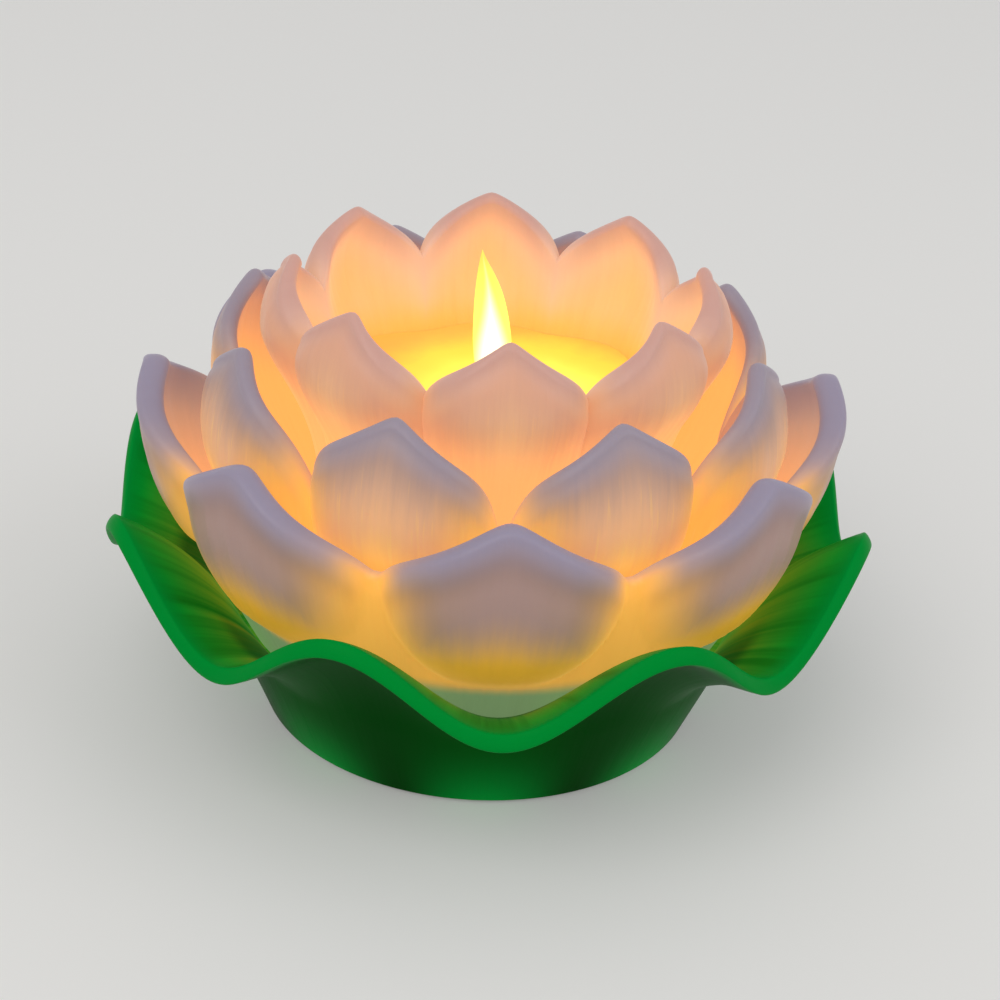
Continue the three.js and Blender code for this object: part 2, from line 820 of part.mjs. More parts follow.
// Flame tab: a flat flame on a stem, with the wire's hole and a tail for the magnet
function flameTab() {
  const half = flameWidth / 2;
  const z = (share) => flameBaseHeight + flameHeight * share;
  const stem = tabStemWidth / 2;
  const foot = tabFootWidth / 2;
  const footTop = tabFootBottom + tabFootHeight;
  const leftShares = [
    [-0.98, 0.2],
    [-1.2, 0.38],
    [-1.22, 0.56],
    [-1.19, 0.74],
    [-1.12, 0.88],
  ];
  const rightShares = [
    [-0.72, 0.94],
    [-0.3, 0.85],
    [0.12, 0.74],
    [0.45, 0.61],
    [0.78, 0.38],
    [0.84, 0.2],
  ];
  const spline = (shares) =>
    shares.map(([across, up]) => new THREE.Vector2(across * half, z(up)));
  const outline = new THREE.Shape();
  outline.moveTo(-foot, tabFootBottom);
  outline.lineTo(-foot, footTop);
  outline.lineTo(-stem, footTop);
  outline.lineTo(-stem, flameBaseHeight);
  outline.splineThru([...spline(leftShares), new THREE.Vector2(-flameLean, flameTipHeight)]);
  outline.splineThru([...spline(rightShares), new THREE.Vector2(stem, flameBaseHeight)]);
  outline.lineTo(stem, footTop);
  outline.lineTo(foot, footTop);
  outline.lineTo(foot, tabFootBottom);
  outline.closePath();
  const plate = new THREE.ExtrudeGeometry(outline, {
    depth: tabThickness,
    bevelEnabled: false,
    curveSegments: 2,
  });
  plate.rotateX(Math.PI / 2).translate(0, tabThickness / 2, 0);
  const hole = cylinder(tabHoleRadius, -tabThickness, tabThickness, 0, 0, tinySides)
    .rotate([90, 0, 0])
    .translate([0, 0, wireHeight]);
  return solidOf(plate).subtract(hole);
}

// A screw with its head below: the shank runs up from the head's top.
function screw(length) {
  const shank = turned(
    [
      [0, 0],
      [screwHeadRadius, 0],
      [screwHeadRadius, screwHeadHeight],
      [screwRadius, screwHeadHeight],
      [screwRadius, screwHeadHeight + length - screwRadius],
      [0, screwHeadHeight + length],
    ],
    tinySides,
  );
  const half = screwSlotWidth / 2;
  const reach = screwSlotReach;
  return shank
    .subtract(box(-half, half, -reach, reach, -cutOverrun, screwSlotDepth))
    .subtract(box(-reach, reach, -half, half, -cutOverrun, screwSlotDepth));
}

// Bottom plate: closes the base and holds the battery tray, the switch slot and the feet
function bottomPlate() {
  const inX = trayHalfLength;
  const inY = trayHalfWidth;
  const outX = inX + trayWall;
  const outY = inY + trayWall;
  let plate = turned([
    [0, standHeight],
    [plateRadius, standHeight],
    [plateRadius, plateTop],
    [0, plateTop],
  ]);
  const inside = plateTop - plateThickness / 2;
  plate = plate.add(
    box(-outX, outX, trayOffset - outY, trayOffset + outY, inside, trayRoofTop),
  );
  plate = plate.subtract(
    box(-inX, inX, trayOffset - inY, trayOffset + inY, standHeight - cutOverrun, trayInside),
  );
  plate = cutForDoor(plate);
  // Slots that the end contacts' tags pass through
  for (const [side, row] of [
    [1, 0],
    [-1, cellCount - 1],
  ]) {
    const y = trayOffset + rowOffset(row);
    const tagY = contactTagWidth / 2 + contactTagGap;
    const tagZ = contactThickness / 2 + contactTagGap;
    const ends = [side * (inX - cutOverrun), side * (outX + cutOverrun)].sort((a, b) => a - b);
    const bottom = cellAxisHeight - tagZ;
    plate = plate.subtract(box(...ends, y - tagY, y + tagY, bottom, cellAxisHeight + tagZ));
  }
  for (const side of [-1, 1]) {
    const x = side * boardPostOffset;
    const postTop = controlBoardBottom - seatGap;
    const post = [x, controlBoardOffset, tinySides];
    plate = plate.add(cylinder(boardPostRadius, inside, postTop, ...post));
    plate = plate.add(cylinder(pinRadius, inside, controlBoardTop + pinRise, ...post));
  }
  const recessX = switchTravel + knobLength / 2 + runGap;
  const recessY = knobWidth / 2 + runGap;
  const slotX = switchTravel + knobStemLength / 2 + runGap;
  const slotY = knobStemWidth / 2 + runGap;
  const at = controlBoardOffset;
  const below = standHeight - cutOverrun;
  plate = plate
    .subtract(box(-recessX, recessX, at - recessY, at + recessY, below, knobRecessTop))
    .subtract(box(-slotX, slotX, at - slotY, at + slotY, below, plateTop + cutOverrun));
  const head = screwHeadRadius + screwHoleGap;
  const headTop = standHeight + screwHeadHeight;
  const above = plateTop + cutOverrun;
  plate = drilled(plate, head, postCircleRadius, postAngles, below, headTop);
  const shank = screwRadius + screwHoleGap;
  plate = drilled(plate, shank, postCircleRadius, postAngles, below, above);
  const padSeat = footThickness + seatGap;
  const pads = [footRadius + footGap, footCircleRadius, bossAngles];
  return drilled(plate, ...pads, below, padSeat, smallSides);
}

// Windows over the door's hooks at one end and under its latch at the other.
function cutForDoor(plate) {
  let left = plate;
  const hookBottom = doorTop - doorHookThickness;
  const hookHalf = doorHookWidth / 2 + doorGap;
  const reach = doorHookReach + doorGap;
  for (const side of [-1, 1]) {
    const y = trayOffset + side * doorHookOffset;
    left = left.subtract(
      box(
        -trayHalfLength - reach,
        -trayHalfLength + cutOverrun,
        y - hookHalf,
        y + hookHalf,
        hookBottom - doorGap,
        doorTop + 2 * doorHookThickness,
      ),
    );
  }
  const latchHalf = latchWidth / 2 + doorGap;
  return left.subtract(
    box(
      trayHalfLength - cutOverrun,
      trayHalfLength + latchReach,
      trayOffset - latchHalf,
      trayOffset + latchHalf,
      standHeight - cutOverrun,
      doorBottom + latchThickness + seatGap,
    ),
  );
}

// Battery door: it turns out on two hooks at -X and presses into a notch at +X.
function batteryDoor() {
  let door = box(
    -doorHalfLength,
    doorHalfLength,
    trayOffset - doorHalfWidth,
    trayOffset + doorHalfWidth,
    doorBottom,
    doorTop,
  );
  const hookHalf = doorHookWidth / 2;
  const hookBottom = doorTop - doorHookThickness;
  for (const side of [-1, 1]) {
    const y = trayOffset + side * doorHookOffset;
    const outerEnd = -trayHalfLength - doorHookReach;
    door = door.add(
      box(outerEnd, -doorHalfLength + cutOverrun, y - hookHalf, y + hookHalf, hookBottom, doorTop),
    );
  }
  const latchHalf = latchWidth / 2;
  const latchEnd = trayHalfLength + latchReach - doorGap;
  door = door.add(
    box(
      doorHalfLength - cutOverrun,
      latchEnd,
      trayOffset - latchHalf,
      trayOffset + latchHalf,
      doorBottom,
      doorBottom + latchThickness,
    ),
  );
  const gripEnd = doorHalfLength - latchThickness;
  for (let i = 0; i < doorRibCount; i++) {
    const end = gripEnd - i * doorRibPitch;
    door = door.subtract(
      box(
        end - doorRibWidth,
        end,
        trayOffset - latchHalf,
        trayOffset + latchHalf,
        doorBottom - cutOverrun,
        doorBottom + latchGripDepth,
      ),
    );
  }
  return door;
}

// A dry cell that lies along X from its flat end, with its nub at +X.
function dryCell() {
  const body = cellLength - cellNubHeight;
  const geometry = geometryOf(
    turned(
      [
        [0, 0],
        [cellRadius - cellEdgeRound, 0],
        [cellRadius, cellEdgeRound],
        [cellRadius, body - cellEdgeRound],
        [cellRadius - cellEdgeRound, body],
        [cellNubRadius, body],
        [cellNubRadius, cellLength],
        [0, cellLength],
      ],
      smallSides,
    ),
  );
  return solidOf(geometry.rotateY(Math.PI / 2));
}

// A coned coil spring along +X from its plate, as one unbroken tube.
class SpringLine extends THREE.Curve {
  getPoint(share, target = new THREE.Vector3()) {
    const restShare = 0.12;
    const climb = THREE.MathUtils.clamp((share - restShare) / (1 - 2 * restShare), 0, 1);
    const turn = share * springTurns * 2 * Math.PI;
    const radius = springBaseRadius + (springTipRadius - springBaseRadius) * share;
    const run = springLength - 2 * springWireRadius;
    return target.set(
      springWireRadius + run * (climb + (share - climb) * springWireRadius),
      radius * Math.cos(turn),
      radius * Math.sin(turn),
    );
  }
}

// A round wire along a curve.
function tubeAlong(curve, radius, steps) {
  const corners = Array.from({ length: wireSides }, (_, i) => {
    const turn = (2 * Math.PI * i) / wireSides;
    return new THREE.Vector2(radius * Math.cos(turn), radius * Math.sin(turn));
  });
  const geometry = new THREE.ExtrudeGeometry(new THREE.Shape(corners), {
    steps,
    extrudePath: curve,
    bevelEnabled: false,
  });
  return solidOf(geometry);
}

function contactSpring() {
  const stepsPerTurn = 8;
  return tubeAlong(new SpringLine(), springWireRadius, springTurns * stepsPerTurn);
}

// A lead with a round jacket that runs smoothly through its points.
function lead(points) {
  const curve = new THREE.CatmullRomCurve3(points, false, "centripetal");
  const steps = Math.ceil(curve.getLength() / leadStepLength);
  return tubeAlong(curve, leadRadius, steps);
}

// Named meshes
const lamp = new THREE.Group();

function add(name, solid, finish, parent = lamp) {
  const mesh = new THREE.Mesh(geometryOf(solid), finish);
  mesh.name = name;
  parent.add(mesh);
  return mesh;
}

function addFlower() {
  add("leaf_base", leafBase(), leafPlastic);
  add("outer_petals", outerCrown.solid(), petalPlastic);
  add("middle_petals", middleCrown.solid(), petalPlastic);
  add("inner_petals", innerCrown.solid(), petalPlastic);
  add("candle_top", candleTop(), candlePlastic);
  bossAngles.forEach((angle, i) => {
    const made = add(`flower_screw_${i + 1}`, screw(flowerScrewLength), steel);
    const head = deckBottom - seatGap - screwHeadHeight;
    made.position.copy(pointAt(bossCircleRadius, angle, head));
  });
}

function addFlameModule() {
  add("module_cup", moduleCup(), blackPlastic);
  add("module_cap", moduleCap(), candlePlastic);
  const wireHalf = moduleRadius - wireEndGap;
  const wire = cylinder(wireRadius, -wireHalf, wireHalf, 0, 0, tinySides);
  const wireMesh = add("pivot_wire", wire, steel);
  wireMesh.rotation.x = Math.PI / 2;
  wireMesh.position.z = wireHeight;
  add("flame_tab", flameTab(), flamePlastic);
  const magnet = cylinder(magnetRadius, magnetBottom, magnetTop);
  add("tab_magnet", magnet, nickel).position.x = magnetOffset;
  const upperFlange = bobbinHeight - bobbinFlange;
  const spoolProfile = [
    [bobbinBoreRadius, 0],
    [bobbinRadius, 0],
    [bobbinRadius, bobbinFlange],
    [bobbinCoreRadius, bobbinFlange],
    [bobbinCoreRadius, upperFlange],
    [bobbinRadius, upperFlange],
    [bobbinRadius, bobbinHeight],
    [bobbinBoreRadius, bobbinHeight],
    [bobbinBoreRadius, 0],
  ];
  const spool = turned(spoolProfile, smallSides);
  add("coil_bobbin", spool, housingPlastic).position.z = bobbinBase;
  const winding = turned(
    ringProfile(
      bobbinCoreRadius + seatGap,
      bobbinRadius - windingInset,
      bobbinFlange + seatGap,
      upperFlange - seatGap,
    ),
    smallSides,
  );
  add("coil_winding", winding, copper).position.z = bobbinBase;
  const legLength = flameLedBase.z - candleSeat;
  add("flame_led", diode(legLength, ledTilt), lensResin).position.copy(flameLedBase);
}

function addGlowLights() {
  const cut = [candleSeat - cutOverrun, glowBoardTop + cutOverrun];
  let board = cylinder(glowBoardRadius, candleSeat, glowBoardTop, 0, 0, roundSides);
  board = board.subtract(legs(legHoleWidth, ...cut, flameLedBase));
  for (const side of [-1, 1]) {
    const x = side * modulePinCircleRadius;
    board = board.subtract(cylinder(pinRadius + pinHoleGap, ...cut, x, 0, tinySides));
  }
  anglesOf(glowLedCount, Math.PI / glowLedCount).forEach((angle, i) => {
    const at = pointAt(glowLedCircleRadius, angle, moduleSeat);
    board = board.subtract(legs(legHoleWidth, ...cut, at));
    add(`glow_led_${i + 1}`, diode(boardThickness), lensResin).position.copy(at);
  });
  add("glow_board", board, boardLaminate);
}

// A contact plate for one cell or two. Its nub meets a cell's nub; its tag takes a lead.
function contact({ cells, nubAt, tagged }) {
  const half = contactSize / 2;
  const reach = ((cells - 1) * cellPitch) / 2 + half;
  let plate = box(0, contactThickness, -reach, reach, -half, half);
  if (nubAt !== undefined) {
    const bump = turned(
      [
        [0, contactThickness / 2],
        [cellNubRadius, contactThickness / 2],
        [cellNubRadius / 2, contactThickness + seatGap],
        [0, contactThickness + seatGap],
      ],
      tinySides,
    );
    plate = plate.add(bump.rotate([0, 90, 0]).translate([0, nubAt, 0]));
  }
  if (tagged) {
    const tag = contactTagWidth / 2;
    const top = contactThickness / 2;
    plate = plate.add(box(-contactTagLength, contactThickness, -tag, tag, -top, top));
  }
  return plate;
}

function addBatteries() {
  const bay = new THREE.Group();
  bay.position.set(0, trayOffset, cellAxisHeight);
  lamp.add(bay);
  const plates = [
    { name: "positive_contact", side: 1, row: 0, cells: 1, nubAt: 0, tagged: true },
    { name: "left_bridge", side: -1, row: 0.5, cells: 2, nubAt: cellPitch / 2 },
    { name: "right_bridge", side: 1, row: 1.5, cells: 2, nubAt: -cellPitch / 2 },
    { name: "negative_contact", side: -1, row: 2, cells: 1, tagged: true },
  ];
  for (const plate of plates) {
    const made = add(plate.name, contact(plate), nickel, bay);
    made.position.set(plate.side * contactBack, rowOffset(plate.row), 0);
    if (plate.side > 0) made.rotation.z = Math.PI;
  }
  for (let row = 0; row < cellCount; row++) {
    const facing = row % 2 ? -1 : 1;
    const cell = add(`cell_${row + 1}`, dryCell(), cellJacket, bay);
    cell.position.set(-facing * cellFlatEnd, rowOffset(row), 0);
    const spring = add(`contact_spring_${row + 1}`, contactSpring(), steel, bay);
    spring.position.set(-facing * springSeat, rowOffset(row), 0);
    if (facing < 0) {
      cell.rotation.z = Math.PI;
      spring.rotation.z = Math.PI;
    }
  }
}

function addBase() {
  add("bottom_plate", bottomPlate(), housingPlastic);
  const fromPivot = doorPivot.clone().negate().toArray();
  const door = add("battery_door", batteryDoor().translate(fromPivot), housingPlastic);
  door.position.copy(doorPivot);
  addBatteries();
  postAngles.forEach((angle, i) => {
    const made = add(`plate_screw_${i + 1}`, screw(plateScrewLength), steel);
    made.position.copy(pointAt(postCircleRadius, angle, standHeight));
    made.position.z -= seatGap;
  });
  bossAngles.forEach((angle, i) => {
    const pad = cylinder(footRadius, 0, footThickness);
    add(`foot_pad_${i + 1}`, pad, footRubber).position.copy(pointAt(footCircleRadius, angle, 0));
  });
}

function addControls() {
  const halfX = controlBoardLength / 2;
  const halfY = controlBoardWidth / 2;
  const at = controlBoardOffset;
  const bottom = controlBoardBottom;
  let board = box(-halfX, halfX, at - halfY, at + halfY, bottom, controlBoardTop);
  for (const side of [-1, 1]) {
    const x = side * boardPostOffset;
    const cut = [bottom - cutOverrun, controlBoardTop + cutOverrun];
    board = board.subtract(cylinder(pinRadius + pinHoleGap, ...cut, x, at, tinySides));
  }
  add("control_board", board, boardLaminate);
  const frame = box(
    -switchLength / 2,
    switchLength / 2,
    -switchWidth / 2,
    switchWidth / 2,
    0,
    switchHeight,
  );
  const stemX = switchTravel + knobStemLength / 2 + runGap;
  const stemY = knobStemWidth / 2 + runGap;
  const mouth = box(-stemX, stemX, -stemY, stemY, -cutOverrun, switchHeight / 2);
  add("switch_body", frame.subtract(mouth), steel).position.set(0, at, switchBottom);
  const knob = add("switch_knob", switchKnob(), blackPlastic);
  knob.position.set(-switchTravel, at, knobBottom);
  const chip = box(-chipLength / 2, chipLength / 2, -chipWidth / 2, chipWidth / 2, 0, chipHeight);
  add("timer_chip", chip, blackPlastic).position.set(chipOffset, at, controlBoardTop + seatGap);
  const can = cylinder(capacitorRadius, 0, capacitorHeight);
  add("capacitor", can, cellJacket).position.set(capacitorOffset, at, controlBoardTop + seatGap);
}

function switchKnob() {
  const halfX = knobLength / 2;
  const halfY = knobWidth / 2;
  const stem = [knobStemLength / 2, knobStemWidth / 2];
  let knob = box(-halfX, halfX, -halfY, halfY, 0, knobThickness);
  const top = knobStemTop - knobBottom;
  knob = knob.add(box(-stem[0], stem[0], -stem[1], stem[1], knobThickness / 2, top));
  const half = knobRibWidth / 2;
  const reach = halfY + cutOverrun;
  for (let i = 0; i < knobRibCount; i++) {
    const x = (i - (knobRibCount - 1) / 2) * 2 * knobRibWidth;
    knob = knob.subtract(box(x - half, x + half, -reach, reach, -cutOverrun, knobRibDepth));
  }
  return knob;
}

// Leads: from the contacts' tags to the control board, and from it up to the glow board
function addLeads() {
  const boardFront = controlBoardOffset - controlBoardWidth / 2;
  const onBoard = controlBoardTop + seatGap + leadRadius;
  const boardEnd = controlBoardLength / 2;
  const at = (x, y, z) => new THREE.Vector3(x, y, z);
  const finishes = { red: redJacket, black: blackJacket };
  for (const [colour, side, row] of [["red", 1, 0], ["black", -1, cellCount - 1]]) {
    const tagEnd = contactBack + contactTagLength;
    const y = trayOffset + rowOffset(row);
    const out = tagEnd + leadSlack / 2;
    const path = [
      at(side * (tagEnd + 2 * seatGap), y, cellAxisHeight),
      at(side * out, y + leadSpacing, cellAxisHeight),
      at(side * out, trayEdge, cellAxisHeight),
      at(side * (boardEnd + leadSlack), boardFront, onBoard + leadRadius),
      at(side * (boardEnd - leadSpacing), boardFront + leadSpacing, onBoard),
    ];
    add(`battery_lead_${colour}`, lead(path), finishes[colour]);
  }
  const overTray = (trayRoofTop + deckBottom) / 2;
  for (const [colour, side] of [["red", 1], ["black", -1]]) {
    const x = side * leadSpacing;
    const path = [
      at(x, boardFront + leadSpacing, onBoard),
      at(x, boardFront - leadRadius, onBoard + leadSpacing / 2),
      at(x, trayEdge + leadSpacing / 2, overTray - leadRadius),
      at(x, trayEdge - leadSlack, overTray),
      at(x, leadSlack, overTray + leadRadius),
      at(x, leadSpacing, outerFloorHeight),
      at(x, leadSpacing, candleSeat - seatGap),
    ];
    add(`lamp_lead_${colour}`, lead(path), finishes[colour]);
  }
}

addFlower();
addFlameModule();
addGlowLights();
addBase();
addControls();
addLeads();

export default lamp;
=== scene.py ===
"""The looks of a lit lotus candle lamp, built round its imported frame.

Everything is in metres in the frame's own axes: +Z is up, the front petal points to -Y, and the
origin lies on the table under the lamp's axis. Angles run from the front towards the right.
"""

import json
import logging
import math
from collections.abc import Callable, Iterator, Sequence
from contextlib import contextmanager
from dataclasses import dataclass, field
from enum import Enum
from functools import reduce

import bmesh
import bpy
import numpy as np
from mathutils import Matrix, Vector

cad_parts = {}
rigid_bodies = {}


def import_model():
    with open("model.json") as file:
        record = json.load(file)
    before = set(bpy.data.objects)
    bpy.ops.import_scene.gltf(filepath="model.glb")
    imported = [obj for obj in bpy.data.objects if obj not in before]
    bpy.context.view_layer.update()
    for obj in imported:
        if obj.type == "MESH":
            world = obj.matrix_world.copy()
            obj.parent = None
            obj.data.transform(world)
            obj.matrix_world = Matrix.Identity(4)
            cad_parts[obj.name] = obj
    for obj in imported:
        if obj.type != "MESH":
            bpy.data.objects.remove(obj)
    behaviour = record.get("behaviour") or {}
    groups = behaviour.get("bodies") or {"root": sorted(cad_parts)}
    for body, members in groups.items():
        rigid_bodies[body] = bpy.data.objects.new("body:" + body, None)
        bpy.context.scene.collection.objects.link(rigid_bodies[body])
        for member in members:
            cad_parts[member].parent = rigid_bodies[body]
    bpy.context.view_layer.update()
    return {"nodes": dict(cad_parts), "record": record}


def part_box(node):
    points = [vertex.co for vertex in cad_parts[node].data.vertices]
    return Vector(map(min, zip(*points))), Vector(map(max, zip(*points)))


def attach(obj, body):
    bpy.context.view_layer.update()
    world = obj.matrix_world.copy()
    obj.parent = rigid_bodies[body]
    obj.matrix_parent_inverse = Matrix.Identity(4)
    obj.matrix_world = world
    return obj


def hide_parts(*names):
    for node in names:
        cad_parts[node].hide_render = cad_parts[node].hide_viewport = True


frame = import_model()
LOG = logging.getLogger("lotus_candle")
MM = 0.001

Colour = tuple[float, float, float]
Span = tuple[float, float]
Place = Callable[[float], tuple[float, float]]  # gives the radius and the height at an angle
Socket = bpy.types.NodeSocket
BLACK: Colour = (0.0, 0.0, 0.0)


class Body(Enum):
    """The frame's bodies that new pieces move with, by name."""

    BASE = "base"
    FLAME = "flame"


def from_display(red: int, green: int, blue: int) -> Colour:
    """Turns a colour as a screen shows it into the linear colour that a shader takes.

    Args:
        red: The red part, 0 to 255.
        green: The green part, 0 to 255.
        blue: The blue part, 0 to 255.

    Returns:
        The linear colour, each part 0 to 1.
    """
    knee, offset, slope, power = 0.04045, 0.055, 12.92, 2.4
    parts = (part / 255 for part in (red, green, blue))
    return tuple(p / slope if p <= knee else ((p + offset) / (1 + offset)) ** power for p in parts)


# Shader nodes


class Shader:
    """Builds one material's nodes round its Principled shader."""

    def __init__(self, name: str) -> None:
        """Makes the material.

        Args:
            name: The material's name.
        """
        self.material = bpy.data.materials.new(name)
        self.material.use_nodes = True
        self.nodes = self.material.node_tree.nodes
        self.links = self.material.node_tree.links
        self.surface = self.nodes["Principled BSDF"]

    def put(self, target: Socket, value: object) -> None:
        """Links a socket to a target, or sets the target's own value.

        Args:
            target: The input that is fed.
            value: A socket, a number or a colour.
        """
        if isinstance(value, bpy.types.NodeSocket):
            self.links.new(value, target)
        elif isinstance(value, tuple) and len(target.default_value) == 4:
            target.default_value = (*value, 1.0)
        else:
            target.default_value = value

    def set(self, **values: object) -> None:
        """Sets inputs of the Principled shader, named with underscores for their spaces."""
        for name, value in values.items():
            self.put(self.surface.inputs[name.replace("_", " ")], value)

    def mark(self, name: str) -> Socket:
        """Gives a mark that the piece's points carry.

        Args:
            name: The mark's name.

        Returns:
            Its value at the point.
        """
        node = self.nodes.new("ShaderNodeAttribute")
        node.attribute_name = name
        return node.outputs["Fac"]

    def place(self) -> Socket:
        """Gives the point's place in the frame."""
        return self.nodes.new("ShaderNodeTexCoord").outputs["Object"]

    def split(self, vector: Socket) -> tuple[Socket, Socket, Socket]:
        """Splits a vector into its three parts.

        Args:
            vector: The vector.

        Returns:
            Its x, y and z.
        """
        node = self.nodes.new("ShaderNodeSeparateXYZ")
        self.put(node.inputs[0], vector)
        return tuple(node.outputs)

    def join(self, x: object, y: object, z: object) -> Socket:
        """Joins three numbers into a vector.

        Args:
            x: The first part.
            y: The second part.
            z: The third part.

        Returns:
            The vector.
        """
        node = self.nodes.new("ShaderNodeCombineXYZ")
        for target, value in zip(node.inputs, (x, y, z)):
            self.put(target, value)
        return node.outputs[0]

    def radius(self, shift: float = 0.0) -> Socket:
        """Gives the distance from the lamp's axis, which may be shifted to the right.

        Args:
            shift: How far the axis is shifted, in metres.

        Returns:
            The distance.
        """
        x, y, _ = self.split(self.place())
        node = self.nodes.new("ShaderNodeVectorMath")
        node.operation = "LENGTH"
        self.put(node.inputs[0], self.join(self.sum("SUBTRACT", x, shift), y, 0.0))
        return node.outputs["Value"]

    def round_place(self, across: float, along: float) -> Socket:
        """Gives a place whose noise is even round the lamp and long up it.

        Args:
            across: How many times it varies in one radian.
            along: How many times it varies in one metre of height.

        Returns:
            The place.
        """
        x, y, z = self.split(self.place())
        unit = self.nodes.new("ShaderNodeVectorMath")
        unit.operation = "NORMALIZE"
        self.put(unit.inputs[0], self.join(x, y, 0.0))
        x, y, _ = self.split(unit.outputs[0])
        return self.join(self.times(x, across), self.times(y, across), self.times(z, along))

    def sum(self, operation: str, first: object, second: object, clamp: bool = False) -> Socket:
        """Works out one sum.

        Args:
            operation: The sum's name, such as ADD or MULTIPLY.
            first: The first number or socket.
            second: The second number or socket.
            clamp: Whether the result is kept from 0 to 1.

        Returns:
            The result.
        """
        node = self.nodes.new("ShaderNodeMath")
        node.operation = operation
        node.use_clamp = clamp
        self.put(node.inputs[0], first)
        self.put(node.inputs[1], second)
        return node.outputs[0]

    def plus(self, *values: object) -> Socket:
        """Adds numbers or sockets."""
        return reduce(lambda first, second: self.sum("ADD", first, second), values)

    def times(self, *values: object) -> Socket:
        """Multiplies numbers or sockets."""
        return reduce(lambda first, second: self.sum("MULTIPLY", first, second), values)

    def rest(self, value: object) -> Socket:
        """Gives what a share leaves of 1."""
        return self.sum("SUBTRACT", 1.0, value)

    def ramp(self, value: object, low: float, high: float, start: float = 0.0, end: float = 1.0) -> Socket:
        """Rises smoothly from start to end as a value goes from low to high.

        Args:
            value: The value that is read.
            low: Where the rise begins.
            high: Where it ends, which may be below low.
            start: The result at low.
            end: The result at high.

        Returns:
            The result.
        """
        node = self.nodes.new("ShaderNodeMapRange")
        node.interpolation_type = "SMOOTHSTEP"
        ends = (low, high, start, end) if low < high else (high, low, end, start)
        for target, number in zip(node.inputs, (value, *ends)):
            self.put(target, number)
        return node.outputs[0]

    def mix(self, share: object, first: object, second: object) -> Socket:
        """Mixes two colours.

        Args:
            share: How much of the second colour shows.
            first: The first colour or socket.
            second: The second colour or socket.

        Returns:
            The mixed colour.
        """
        node = self.nodes.new("ShaderNodeMix")
        node.data_type = "RGBA"
        self.put(node.inputs["Factor"], share)
        first_colour, second_colour, result = node.inputs[6], node.inputs[7], node.outputs[2]
        self.put(first_colour, first)
        self.put(second_colour, second)
        return result

    def noise(
        self, vector: Socket, scale: float = 1.0, detail: float = 2.0, roughness: float = 0.5
    ) -> Socket:
        """Gives soft noise, 0 to 1.

        Args:
            vector: The place that is read.
            scale: How many times it varies in one unit.
            detail: How many finer layers it has.
            roughness: How strong those layers are.

        Returns:
            The noise.
        """
        node = self.nodes.new("ShaderNodeTexNoise")
        self.put(node.inputs["Vector"], vector)
        self.put(node.inputs["Scale"], scale)
        self.put(node.inputs["Detail"], detail)
        self.put(node.inputs["Roughness"], roughness)
        return node.outputs["Fac"]

    def bump(self, height: Socket, depth: float, strength: float = 1.0) -> None:
        """Raises the surface by a height of 0 to 1.

        Args:
            height: The height's socket.
            depth: The height of 1, in metres.
            strength: The share of it that shows.
        """
        node = self.nodes.new("ShaderNodeBump")
        self.put(node.inputs["Height"], height)
        node.inputs["Distance"].default_value = depth
        node.inputs["Strength"].default_value = strength
        self.links.new(node.outputs[0], self.surface.inputs["Normal"])


# Finishes


